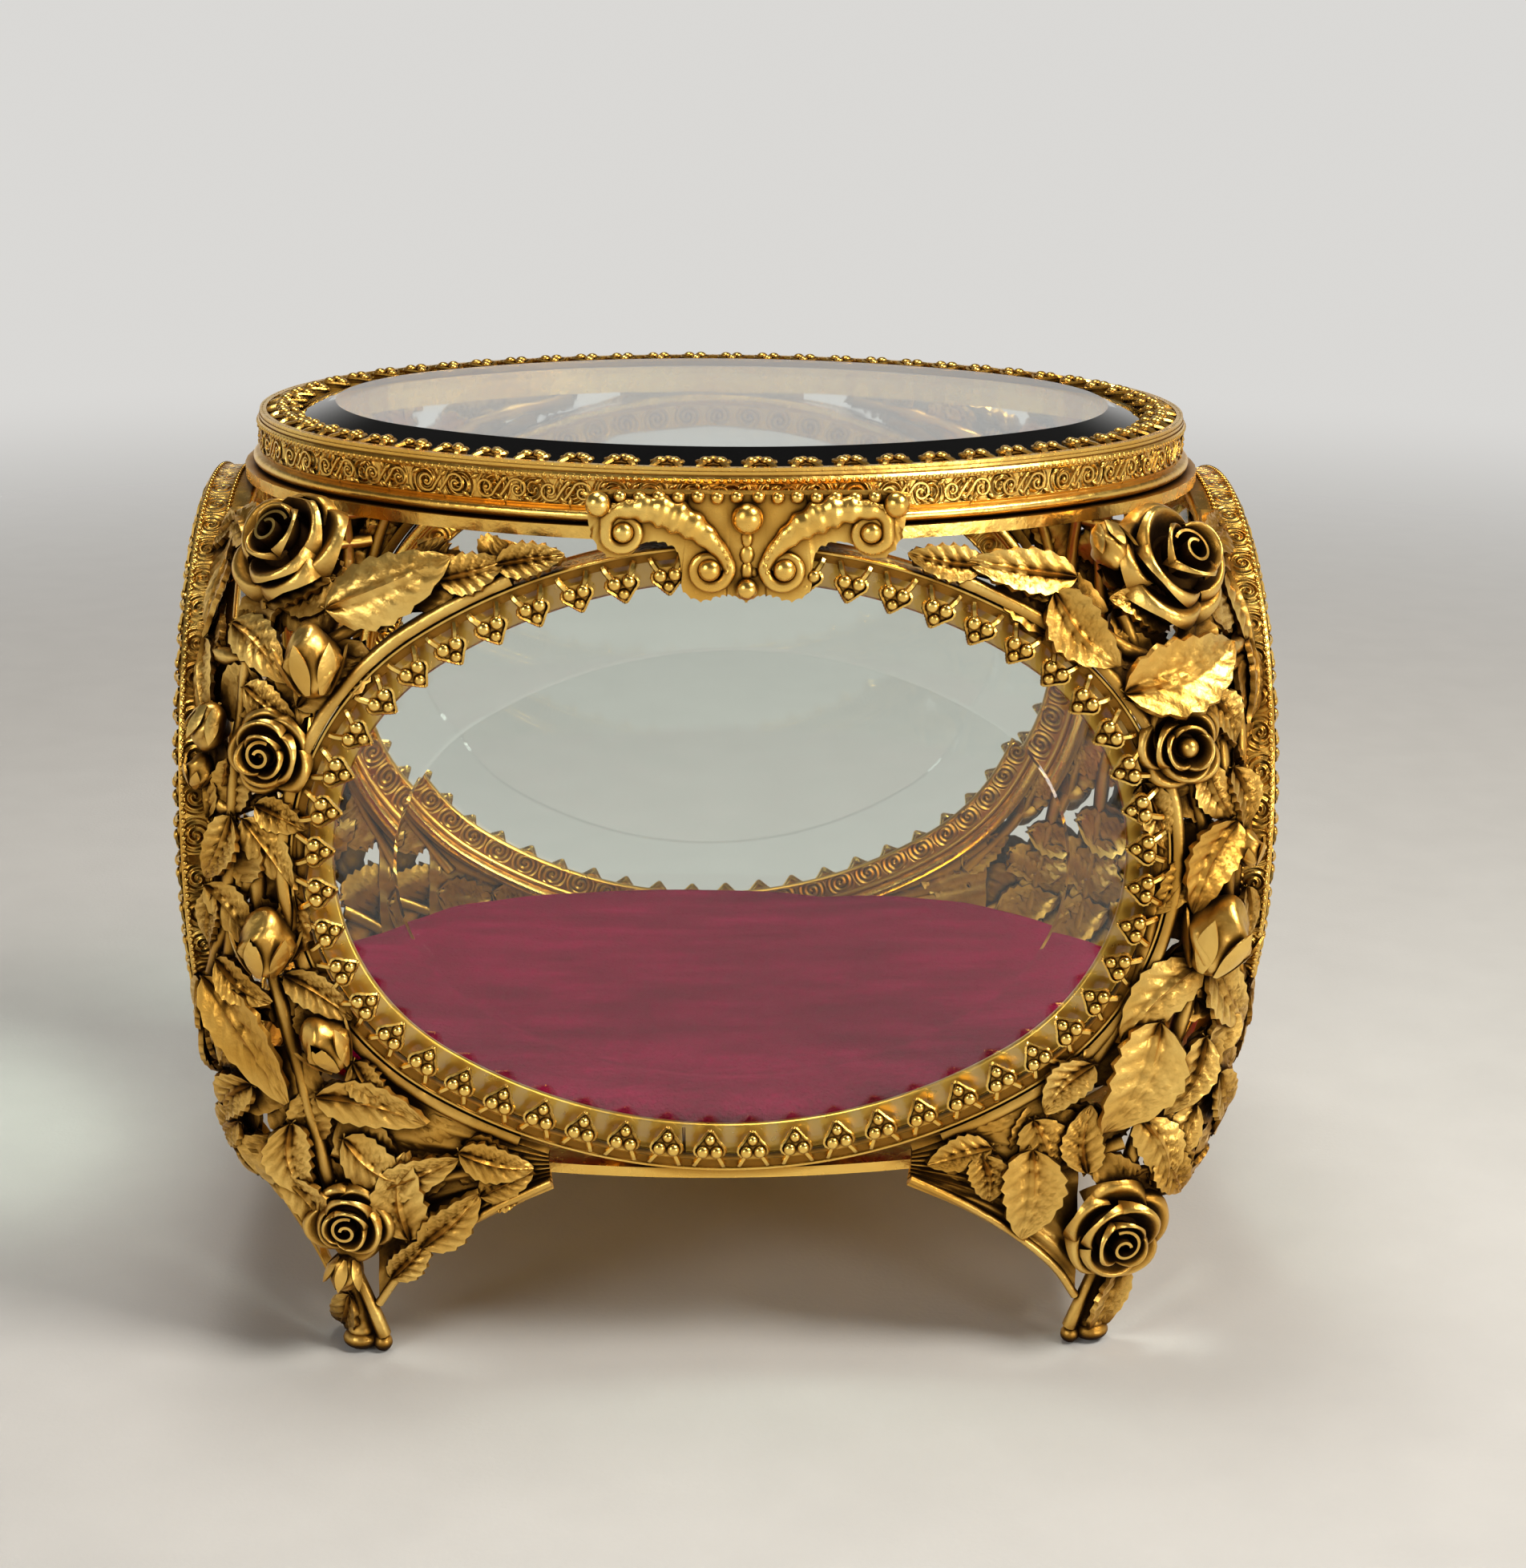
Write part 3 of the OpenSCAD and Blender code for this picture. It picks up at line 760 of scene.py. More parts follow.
class Bench:
    """Turns shapes into pieces that ride on the frame."""

    def __init__(self) -> None:
        self.group = self.repeat_group()

    def link(self, name: str, shape: Shape, finish: bpy.types.Material,
             sharp: float = SOFT) -> bpy.types.Object:
        """Makes one object from a shape, with its place in its mesh.

        Args:
            name: name of the object.
            shape: its shape, in place.
            finish: its material.
            sharp: the angle in degrees past which an edge stays sharp.
        Returns:
            The object, in the scene.
        """
        mesh = bpy.data.meshes.new(name)
        mesh.from_pydata((shape.points() * MM).tolist(), [], shape.faces)
        layer = mesh.uv_layers.new(name="mm")
        uv = np.vstack(shape.uvs) * MM
        loops = np.empty(len(mesh.loops), dtype=np.int64)
        mesh.loops.foreach_get("vertex_index", loops)
        layer.data.foreach_set("uv", uv[loops].ravel())
        mesh.validate()
        mesh.shade_smooth()
        mesh.set_sharp_from_angle(angle=math.radians(sharp))
        mesh.materials.append(finish)
        obj = bpy.data.objects.new(name, mesh)
        bpy.context.scene.collection.objects.link(obj)
        return obj

    def ride(self, obj: bpy.types.Object, body: Body, slot: str, *nodes: str) -> bpy.types.Object:
        """Lets a piece ride on a body and stand for CAD nodes.

        Args:
            obj: the piece.
            body: the body that it rides on.
            slot: not used.
            nodes: the CAD nodes that it replaces.
        Returns:
            The piece.
        """
        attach(obj, body.value)
        if nodes:
            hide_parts(*nodes)
        LOG.info("%s rides on %s, %d faces", obj.name, body.value, len(obj.data.polygons))
        return obj

    @staticmethod
    def bake(obj: bpy.types.Object) -> None:
        """Replaces the mesh by what its modifiers make of it.

        Args:
            obj: the object, whose modifiers are then removed.
        """
        graph = bpy.context.evaluated_depsgraph_get()
        graph.update()
        mesh = bpy.data.meshes.new_from_object(obj.evaluated_get(graph), depsgraph=graph)
        obj.modifiers.clear()
        obj.data = mesh

    @staticmethod
    def repeat_group() -> bpy.types.NodeTree:
        """The node group that sets a piece down at every point of a mesh.

        Returns:
            The group.
        """
        tree = bpy.data.node_groups.new("repeat_along", "GeometryNodeTree")
        for name, kind in (("Places", "Geometry"), ("Piece", "Object"), ("Finish", "Material"),
                           ("Least", "Float"), ("Most", "Float"), ("Seed", "Int")):
            tree.interface.new_socket(name, in_out="INPUT", socket_type="NodeSocket" + kind)
        tree.interface.new_socket("Geometry", in_out="OUTPUT", socket_type="NodeSocketGeometry")
        new = tree.nodes.new
        give, take = new("NodeGroupInput").outputs, new("NodeGroupOutput")
        info = new("GeometryNodeObjectInfo")
        turn = new("GeometryNodeInputNamedAttribute")
        turn.data_type = "FLOAT_VECTOR"
        turn.inputs["Name"].default_value = "turn"
        size = new("FunctionNodeRandomValue")
        place = new("GeometryNodeInstanceOnPoints")
        real = new("GeometryNodeRealizeInstances")
        coat = new("GeometryNodeSetMaterial")
        for source, socket in (
                (give["Piece"], info.inputs[0]), (give["Places"], place.inputs["Points"]),
                (info.outputs["Geometry"], place.inputs["Instance"]),
                (turn.outputs[0], place.inputs["Rotation"]), (give["Least"], size.inputs[2]),
                (give["Most"], size.inputs[3]), (give["Seed"], size.inputs["Seed"]),
                (size.outputs[1], place.inputs["Scale"]), (place.outputs[0], real.inputs[0]),
                (real.outputs[0], coat.inputs["Geometry"]), (give["Finish"], coat.inputs["Material"]),
                (coat.outputs[0], take.inputs[0])):
            tree.links.new(source, socket)
        return tree

    def repeat(self, name: str, piece: Shape, places: list[Placing], finish: bpy.types.Material,
               vary: float = 0.02, seed: int = 1) -> bpy.types.Object:
        """Sets one piece down at many places and bakes the result.

        Args:
            name: name of the new object.
            piece: the shape to repeat.
            places: where it goes.
            finish: its material.
            vary: how far its size may vary, as a share.
            seed: fixes that variation.
        Returns:
            The object, as a plain mesh.
        """
        unit_obj = self.link(name + "_unit", piece, finish)
        mesh = bpy.data.meshes.new(name + "_places")
        mesh.from_pydata([tuple(p.at * MM) for p in places], [], [])
        turns = mesh.attributes.new("turn", "FLOAT_VECTOR", "POINT")
        for i, p in enumerate(places):
            turns.data[i].vector = Matrix(p.turn.tolist()).to_euler("XYZ")
        obj = bpy.data.objects.new(name, mesh)
        bpy.context.scene.collection.objects.link(obj)
        mod = obj.modifiers.new("repeat", "NODES")
        mod.node_group = self.group
        keys = {s.name: s.identifier for s in self.group.interface.items_tree if s.in_out == "INPUT"}
        for key, value in (("Piece", unit_obj), ("Finish", finish), ("Least", 1.0 - vary), ("Most", 1.0),
                           ("Seed", seed)):
            mod[keys[key]] = value
        self.bake(obj)
        if not obj.data.materials:
            obj.data.materials.append(finish)
        bpy.data.objects.remove(unit_obj)
        return obj


# Sizes of the solids


@dataclass(frozen=True)
class Sizes:
    """The casket's sizes in millimetres, as its solids have them."""

    lid: Oval = Oval(66.4, 51.4, 43)
    lid_z: float = 115.7
    lid_top: float = 121.9
    window: Oval = Oval(57.5, 43, 37)
    side: Oval = Oval(45, 43, 41.5)
    window_z: float = 70.5
    face_y: float = 51.5
    face_x: float = 72.3
    ring_depth: float = 7.0
    floor_z: float = 25.8
    pad_z: float = 28.8
    pad: Oval = Oval(64.1, 43.3, 39.3)
    pad_h: float = 9.0
    foot: tuple[float, float] = (50.5, -48.0)

    def face(self, side: Side) -> Placing:
        """The place of a window face: x across, y up, z out of the box.

        Args:
            side: which window.
        Returns:
            Its place.
        """
        if side in (Side.FRONT, Side.BACK):
            s = 1 if side is Side.FRONT else -1
            turn = np.array([[s, 0, 0], [0, 0, -s], [0, 1, 0]], float)
            return Placing(turn, np.array([0, -s * self.face_y, self.window_z]))
        s = 1 if side is Side.RIGHT else -1
        turn = np.array([[0, 0, s], [s, 0, 0], [0, 1, 0]], float)
        return Placing(turn, np.array([s * self.face_x, 0, self.window_z]))


SIZES = Sizes()


@dataclass(frozen=True)
class Lace:
    """Trefoil prongs on a rail, folded over a pane.

    half is one side of a prong's outline, as distance from the rail and half width.
    """

    bench: Bench
    gold: bpy.types.Material
    # A dark finish for the band in the groove round a pane: grime and painted shade.
    grime_and_shade: bpy.types.Material | None = None
    half: Pairs = (
        (-1.1, 0.7), (-1.5, 1.55), (-2.1, 2.05), (-2.8, 1.95), (-3.5, 1.3), (-4.1, 0.8), (-4.6, 0.4),
        (-4.95, 0.06))
    reach: float = 5.0
    seat: float = 0.35
    thick: float = 0.6
    step: float = 0.98
    groove: Pairs = ((-1.5, -0.6), (-0.35, -0.6), (-0.35, -0.35), (-1.5, -0.35))
    bar: Pairs = ((-1.15, -0.25), (0.0, -0.25), (0.0, 0.1), (-1.15, 0.1))

    def prong(self, droop: float, rise: float) -> Shape:
        """One prong that points along -X from its rail.

        Args:
            droop: how far the tip drops, in millimetres.
            rise: how far the prong swells up in its middle.
        Returns:
            The shape.
        """
        def high(x: float) -> float:
            """The prong's height at a distance from its rail."""
            t = min(max(-x / self.reach, 0.0), 1.0)
            return self.seat + rise * math.sin(math.pi * t) - droop * t ** 2

        s = Shape()
        ridge = np.array([[x, 0.0, high(x) + 0.22] for x, _ in self.half])
        for sign in (1, -1):
            edge = np.array([[x, sign * y, high(x) + 0.12] for x, y in self.half])
            s.add(*shell(np.stack([ridge, (ridge + edge) / 2, edge][::sign]), self.thick))
            leg = smooth_path([(0.1, sign * 2.0, 0.15), (-0.5, sign * 1.75, high(-0.5) + 0.1),
                               (-1.5, sign * 1.2, high(-1.5) + 0.25)], 3)
            s.add(*tube(leg, 0.44, 6, 0.8))
            s.add(*ball((-2.15, sign * 0.93, high(-2.2) + 0.35), (0.9, 0.9, 0.6), 6, 12))
            rim = smooth_path([(x, sign * y, high(x) + 0.22) for x, y in self.half[1:]], 3)
            s.add(*tube(rim, 0.25 + 0.05 * np.cos(np.arange(len(rim)) * math.pi), 5))
        s.add(*ball((-3.68, 0, high(-3.7) + 0.33), (0.8, 0.76, 0.58), 6, 12))
        s.add(*ball((-4.8, 0.0, high(-4.8) + 0.2), (0.36, 0.3, 0.34), 4, 6))
        return s

    @staticmethod
    def bead() -> Shape:
        """One small bead of the rail."""
        return Shape().add(*ball((0, 0, 0), (0.43, 0.47, 0.42), 4, 7))

    @staticmethod
    def places(oval: Oval, count: int, shift: float, inset: float, up: float,
               face: Placing) -> list[Placing]:
        """Places round an oval, x outward, y along and z up.

        Args:
            oval: the path, before its inset.
            count: how many.
            shift: start, as a share of one space.
            inset: how far inside the oval they are.
            up: their height over the face.
            face: the face that the oval lies on.
        Returns:
            The places.
        """
        out = []
        for p, d in zip(*oval.inset(inset).samples(count, shift)[:2]):
            x = np.array([math.cos(d), math.sin(d), 0.0])
            turn = np.stack([x, [-x[1], x[0], 0.0], [0.0, 0.0, 1.0]], 1)
            out.append(Placing(face.turn @ turn, face.put(np.array([*p, up]))))
        return out

    def beads(self, name: str, oval: Oval, inset: float, up: float, face: Placing, vary: float,
              seed: int) -> bpy.types.Object:
        """A row of beads that touch, round an oval.

        Args:
            name: name of the piece.
            oval: the path, before its inset.
            inset: how far inside the oval they are.
            up: their height over the face.
            face: the face that the oval lies on.
            vary: how far their size may vary, as a share.
            seed: fixes that variation.
        Returns:
            The piece.
        """
        spots = self.places(oval, int(oval.samples(4)[2] / self.step), 0.0, inset, up, face)
        return self.bench.repeat(name, self.bead(), spots, self.gold, vary, seed)

    def dress(self, name: str, oval: Oval, count: int, face: Placing, body: Body, slot: str,
              droop: float, rise: float, up: float) -> None:
        """Makes the crown for one opening, over a dark band of grime and painted shade or, without that
        finish, a beaded rail.

        Args:
            name: first part of the pieces' names.
            oval: the opening's edge.
            count: how many prongs.
            face: the face that the opening is in.
            body: the body that it rides on.
            slot: the CAD node that it stands for.
            droop: how far the prongs' tips drop.
            rise: how far the prongs swell up.
            up: height of the crown over the face.
        """
        spots = self.places(oval, count, 0.5, 1.1, up, face)
        prongs = self.bench.repeat(name + "_prongs", self.prong(droop, rise), spots, self.gold, 0.05, 3)
        if not self.grime_and_shade:
            self.bench.ride(self.beads(name + "_beads", oval, 0.45, up + 0.28, face, 0.1, 5), body, slot)
        rail = sweep(oval, [(out, up + z) for out, z in (self.groove if self.grime_and_shade else self.bar)])
        base = self.bench.link(name + "_rail", Shape().join(rail, face), self.grime_and_shade or self.gold)
        self.bench.ride(base, body, slot, slot)
        self.bench.ride(prongs, body, slot)


@dataclass(frozen=True)
class Windows:
    """The four oval windows: ring, pane and lace."""

    bench: Bench
    gold: bpy.types.Material
    band: bpy.types.Material
    inner: bpy.types.Material
    # The dark band's finish in the grooves: grime and painted shade.
    grime_and_shade: bpy.types.Material
    glass: bpy.types.Material
    lip: float = 1.4
    bevel: float = 12.0
    facet: float = 0.4
    prongs: tuple[int, int] = (52, 48)
    bead_step: float = 1.15
    bead_rows: tuple[float, float] = (-0.5, -3.9)

    def ring(self, oval: Oval) -> Shape:
        """A ring with rolled edges and a field for its frieze.

        Args:
            oval: the window's edge.
        Returns:
            The shape, on a level face.
        """
        d = SIZES.ring_depth
        return sweep(oval, [(-0.12, -d + 0.75), (-0.12, -1.0), (0, -0.85), (0, -0.2), (-0.15, 0.05),
                            (-0.4, 0.05), (-0.5, -0.3), (-1.2, -0.7), (-1.2, -d + 0.3), (-0.95, -d),
                            (-0.25, -d), (0, -d + 0.25), (0, -d + 0.6)])

    def ledge(self, oval: Oval) -> Shape:
        """The flat band behind the pane, with two rims on its inner face.

        Args:
            oval: the window's edge.
        Returns:
            The shape, on a level face.
        """
        return sweep(oval, [(-1.1, -4.4), (-1.1, -3.46), (-5.2, -3.46), (-5.5, -3.6), (-5.6, -3.9),
                            (-5.6, -4.5), (-5.35, -4.75), (-5.05, -4.65), (-4.9, -4.35), (-1.95, -4.35),
                            (-1.8, -4.65), (-1.5, -4.75), (-1.2, -4.6)])

    def seam(self, oval: Oval) -> Shape:
        """The soldered joint of the ledge, at the foot of a window.

        Args:
            oval: the window's edge.
        Returns:
            The shape, on a level face.
        """
        low = -oval.b
        s = Shape().add(*tube(np.array([(-6.2, low + 1.6, -3.3), (-6.3, low + 5.3, -3.35)]), 0.22, 6))
        return s.add(*ball((-6.9, low + 1.7, -3.2), (0.7, 0.6, 0.5), 6, 10))

    def pane(self, oval: Oval) -> Shape:
        """A pane with a ground bevel round its outer face.

        Args:
            oval: the window's edge.
        Returns:
            The shape, on a level face.
        """
        rim = oval.inset(self.lip)
        inner = rim.inset(self.bevel)
        return plate(oval, [(rim.inset(0.15), -3.38), (rim, -3.25), (rim, -2.45), (inner, -0.62),
                            (inner.inset(self.facet), -0.5)])

    def build(self) -> None:
        """Makes all four windows."""
        lace = Lace(self.bench, self.gold, self.grime_and_shade)
        for side in Side:
            face = SIZES.face(side)
            wide = side in (Side.FRONT, Side.BACK)
            oval = SIZES.window if wide else SIZES.side
            name = side.value
            node = name + "_window_ring"
            for piece, shape, finish, stands in (
                    ("band", self.ring(oval), self.band, (node,)),
                    ("ledge", self.ledge(oval), self.inner, ()),
                    ("seam", self.seam(oval), self.gold, ())):
                obj = self.bench.link(f"{name}_ring_{piece}", Shape().join(shape, face), finish)
                self.bench.ride(obj, Body.BOX, node, *stands)
            if not wide:
                count = int(oval.samples(4)[2] / self.bead_step)
                spots = [p for up in self.bead_rows for p in lace.places(oval, count, 0.0, 0.1, up, face)]
                beads = self.bench.repeat(name + "_ring_beads", lace.bead(), spots, self.gold, 0.06, 13)
                self.bench.ride(beads, Body.BOX, node)
            pane = self.bench.link(name + "_pane", Shape().join(self.pane(oval), face), self.glass, FLAT)
            self.bench.ride(pane, Body.BOX, name + "_window_glass", name + "_window_glass")
            lace.dress(name + "_lace", oval, self.prongs[not wide], face, Body.BOX, name + "_window_lace",
                       0.7, 0.5 if wide else 0.25, 0.1 if wide else 0.0)


@dataclass(frozen=True)
class Lid:
    """The hinged lid: band, frieze, crown, pane and clasp.

    edge is the clasp's right half in outline; hang is where the clasp hangs.
    """

    bench: Bench
    gold: bpy.types.Material
    engraved: bpy.types.Material
    glass: bpy.types.Material
    roll: float = 0.75
    sections: int = 224
    scrolls: int = 42
    prongs: int = 60
    lip: float = 2.6
    bevel: float = 9.0
    crown_up: float = 0.47
    hang: tuple[float, float, float] = (1.2, -52.5, 120.7)
    edge: Pairs = (
        (0, -0.1), (18.6, -0.1), (19.9, -1.8), (19.4, -6.0), (17.4, -8.5), (14.6, -8.2), (13.2, -6.9),
        (11.0, -6.6), (8.8, -7.7), (8.2, -10.5), (8.0, -12.9), (5.8, -14.2), (3.4, -13.6), (1.8, -13.5),
        (0, -14.3))

    def band(self) -> Shape:
        """The band's section: rolled rim, fillet, frieze field, bead seat and inner ledge.

        Returns:
            The shape, in place.
        """
        z0, z1, r = SIZES.lid_z, SIZES.lid_top, self.roll
        roll = [(r * math.cos(t) - r, z0 + 0.78 + r * math.sin(t))
                for t in np.linspace(-TAU / 4, TAU / 4, 9)]
        low = [(-1.0, 1.75), (-0.85, 2.05), (-1.05, 2.2)]
        high = [(-1.05, -1.0), (-0.8, -0.85), (-0.7, -0.3), (-0.9, 0.0), (-2.3, 0.0), (-2.4, -0.1),
                (-2.4, -2.6), (-4.2, -2.6), (-4.2, -3.5), (-2.4, -3.5)]
        profile = [(-2.4, z0), *roll, *((x, z0 + z) for x, z in low), *((x, z1 + z) for x, z in high)]
        return sweep(SIZES.lid, profile, self.sections)

    def scroll_unit(self) -> Shape:
        """One length of the embossed frieze: two volutes, leaves and berries.

        Returns:
            The shape, standing at the middle.
        """
        s = Shape()
        for side in (1, -1):
            cx = 2.2 * side
            rise = smooth_path([(cx - 2.6 * side, -1.35 * side, 0), (cx - 1.7 * side, -0.2 * side, 0),
                                (cx - 0.9 * side, 1.0 * side, 0)], 4)[:-1]
            line = np.vstack([rise, spiral((cx, 0), 1.35, 0.25, 135 if side > 0 else -45, -1.35, 20)])
            s.add(*tube(line, np.linspace(0.26, 0.2, len(line)), 6, 0.8))
            s.add(*ball((cx, 0, 0.05), (0.36, 0.36, 0.3), 4, 8))
            for x, y, a in ((-1.9, 1.1, 40), (1.55, -1.2, -30), (-1.6, -1.35, 80)):
                t = math.radians(a * side)
                leaf = [(math.cos(t) * q * 0.62 + cx + x * side, math.sin(t) * q * 0.62 + y * side, 0.05)
                        for q in np.linspace(-1, 1, 5)]
                s.add(*tube(np.array(leaf), [0.05, 0.26, 0.33, 0.24, 0.04], 6, 0.7))
        # The flat pattern is stood up on the band, with x out, y along and z up.
        return Shape().add(s.points()[:, [2, 0, 1]], s.faces)

    def clasp(self) -> Shape:
        """The lift tab: a scalloped plate, two long scrolls with volutes, and beads.

        Returns:
            The shape, lying flat with its hinge line along x.
        """
        s = Shape()
        p = smooth_path([(x, y, 0) for x, y in self.edge], 6)[:, :2]
        scallop = 0.22 * np.cos(np.arange(len(p)) * math.pi / 1.5) * (p[:, 1] < -5)
        p = p + scallop[:, None] * unit(p - [9, -5])
        x, y = p[:, 0], p[:, 1]
        rows = ((x, np.maximum(y, -14.5), 0.15), (x * 0.96, y * 0.62 - 0.5, 0.55), (x * 0.9, -0.6, 0.5))
        for sign in (1, -1):
            top = np.stack([np.stack(np.broadcast_arrays(sign * across, down, up), 1)
                            for across, down, up in rows])
            s.add(*shell(top[::sign], 0.5))
            long = smooth_path([(17.6, -4.0, 0), (16.6, -2.7, 0), (13.6, -2.3, 0), (10.2, -2.8, 0),
                                (6.6, -4.6, 0), (3.6, -7.4, 0), (2.1, -9.9, 0)], 6)[1:-1]
            line = resample(np.vstack([spiral((15.5, -5.2), 1.1, 2.35, 333, 1.05, 24)[:-1], long,
                                       spiral((4.7, -10.0), 2.5, 1.2, 180, 1.0, 24)]), 170)
            t = np.linspace(0, 1, len(line))
            wide = 0.72 + 1.15 * np.exp(-((t - 0.5) / 0.13) ** 2) + 0.2 * np.exp(-((t - 0.5) / 0.33) ** 2)
            flute = 1 + 0.11 * np.cos(np.arange(len(line)) * 0.72) * np.exp(-((t - 0.47) / 0.17) ** 4)
            line[:, 2] = 0.75 + 0.35 * np.sin(math.pi * t)
            line[:, 0] *= sign
            s.add(*tube(line, wide * flute, 10, 0.62))
            rim = resample(line[52:-40] + [0, 0.9, 0.35], 61)
            s.add(*tube(rim, 0.30 + 0.13 * np.cos(np.arange(61) * TAU / 3), 6))
            for across, down, up, r, tall in ((15.5, -5.2, 1.25, 1.35, 1.1), (4.7, -10.0, 1.25, 1.45, 1.1),
                                              (18.6, -1.7, 1.2, 1.65, 1.5)):
                s.add(*ball((sign * across, down, up), (r, r, tall), 10, 16))
            for i in range(7):
                at = (sign * (1.35 + i * 2.42), -0.85 - 0.1 * (i % 2), 0.85)
                s.add(*ball(at, (0.9, 0.84, 0.8), 7, 10))
        s.add(*ball((0, -3.5, 1.1), (2.0, 2.0, 1.75), 12, 20))
        s.add(*ball((0, -12.5, 0.9), (1.4, 1.35, 1.2), 10, 16))
        for down, r in ((-6.1, 0.8), (-8.2, 1.0), (-10.2, 0.8)):
            s.add(*ball((0, down, 0.5), (r, 1.3, 0.5), 6, 10))
        return s

    def pane(self) -> Shape:
        """The lid's pane, with a ground bevel round its upper face."""
        rim, z = SIZES.lid.inset(self.lip), SIZES.lid_top - self.lip
        return plate(rim, [(rim.inset(0.15), z), (rim, z + 0.15), (rim, z + 1.6),
                           (rim.inset(self.bevel), z + 4.55)])

    def build(self) -> None:
        """Makes the lid's pieces."""
        flat = Placing(np.eye(3), np.zeros(3))
        oval, top = SIZES.lid.inset(1.0), SIZES.lid_top
        lace = Lace(self.bench, self.gold)
        self.piece("lid_rim_band", self.band(), self.engraved, 40, "lid_band", "lid_band")
        spots = lace.places(SIZES.lid, self.scrolls, 0.0, 1.05, SIZES.lid_z + 3.65, flat)
        frieze = self.bench.repeat("lid_frieze", self.scroll_unit(), spots, self.gold, 0.03, 9)
        self.bench.ride(frieze, Body.LID, "lid_band")
        lace.dress("lid_lace", oval, self.prongs, flat, Body.LID, "lid_crown", 0.2, 0.25,
                   top + self.crown_up)
        wall = [(-1.0, top - 0.2), (-0.1, top - 0.2), (-0.1, top + 1.1), (-1.0, top + 1.1)]
        self.piece("lid_lace_wall", sweep(oval, wall), self.gold, SOFT, "lid_crown")
        beads = lace.beads("lid_edge_beads", oval, -0.02, top - 0.5, flat, 0.08, 7)
        self.bench.ride(beads, Body.LID, "lid_band")
        self.piece("lid_pane", self.pane(), self.glass, FLAT, "lid_glass", "lid_glass")
        hang = Placing(np.array([[1, 0, 0], [0, 0, -1], [0, 1, 0]], float), np.array(self.hang))
        self.piece("lid_lift_tab", Shape().join(self.clasp(), hang), self.gold, 70, "lid_clasp", "lid_clasp")

    def piece(self, name: str, shape: Shape, finish: bpy.types.Material, sharp: float, *nodes: str) -> None:
        """Makes one piece and lets it ride on the lid.

        Args:
            name: name of the piece.
            shape: its shape, in place.
            finish: its material.
            sharp: the angle in degrees past which an edge stays sharp.
            nodes: a first CAD node, then each CAD node that it replaces.
        """
        self.bench.ride(self.bench.link(name, shape, finish, sharp), Body.LID, *nodes)


# Corner castings


@dataclass(frozen=True)
class Corner:
    """The swelling corner that leaves and roses lie on, in the front right quarter.

    At each level its section has a half width, a half depth and a squareness. low and high
    are the least and most angle of the leaves, above and below the middle of the windows.
    """

    levels: tuple[float, ...] = (0, 12, 27, 45, 70, 95, 108, 118)
    half_w: tuple[float, ...] = (54, 60, 69, 72, 72.3, 71.5, 69.5, 66.5)
    half_d: tuple[float, ...] = (51.5, 51.5, 52, 52, 52, 52, 51.8, 51)
    square: tuple[float, ...] = (9, 9, 9, 9, 9, 6, 3.4, 2.2)
    clear: float = 2.6
    middle: float = 70.0
    low: tuple[float, float] = (17.0, 23.0)
    high: tuple[float, float] = (64.0, 61.0)

    def reach(self, a: float, z: float) -> float:
        """Distance from the middle to the surface.

        Args:
            a: the angle, in degrees.
            z: the height.
        Returns:
            The distance.
        """
        w, d, n = (np.interp(z, self.levels, row) for row in (self.half_w, self.half_d, self.square))
        c, s = math.cos(math.radians(a)), math.sin(math.radians(a))
        return ((c / w) ** n + (s / d) ** n) ** (-1 / n)

    def point(self, a: float, z: float) -> np.ndarray:
        """The point at an angle and a height."""
        r = self.reach(a, z)
        return np.array([r * math.cos(math.radians(a)), -r * math.sin(math.radians(a)), z])

    def normal(self, a: float, z: float, wide: float = 3.0) -> np.ndarray:
        """The outward normal, eased over its surroundings.

        Args:
            a: the angle, in degrees.
            z: the height.
            wide: how far it is eased, in degrees and millimetres.
        Returns:
            The normal, at length one.
        """
        across = self.point(a - wide, z) - self.point(a + wide, z)
        up = self.point(a, z + wide) - self.point(a, z - wide)
        return unit(np.cross(across, up))

    def span(self, z: float) -> tuple[float, float]:
        """The least and most angle between the two window rings.

        Args:
            z: the height.
        Returns:
            Both angles, in degrees.
        """
        out = []
        for oval in (SIZES.side.inset(-self.clear), SIZES.window.inset(-self.clear)):
            p = np.array([oval.at(d) for d in np.linspace(0, math.pi / 2, 120)])
            out.append(float(np.interp(abs(z - SIZES.window_z), p[:, 1], p[:, 0], right=0.0)))
        low = math.degrees(math.atan2(out[0], 72.0))
        high = math.degrees(math.atan2(52.0, out[1]))
        below = int(z <= self.middle)
        return max(low, self.low[below]), min(high, self.high[below])

    def lay(self, a: float, z: float, a2: float, z2: float, lift: float = 0.0) -> Placing:
        """A place on the surface with x toward a second place.

        Args:
            a: the angle, in degrees.
            z: the height.
            a2: angle of the second place.
            z2: height of the second place.
            lift: height over the surface.
        Returns:
            The place.
        """
        p, n = self.point(a, z), self.normal(a, z)
        d = self.point(a2, z2) - p
        x = unit(d - d.dot(n) * n)
        return Placing(np.stack([x, np.cross(n, x), n], 1), p + lift * n)


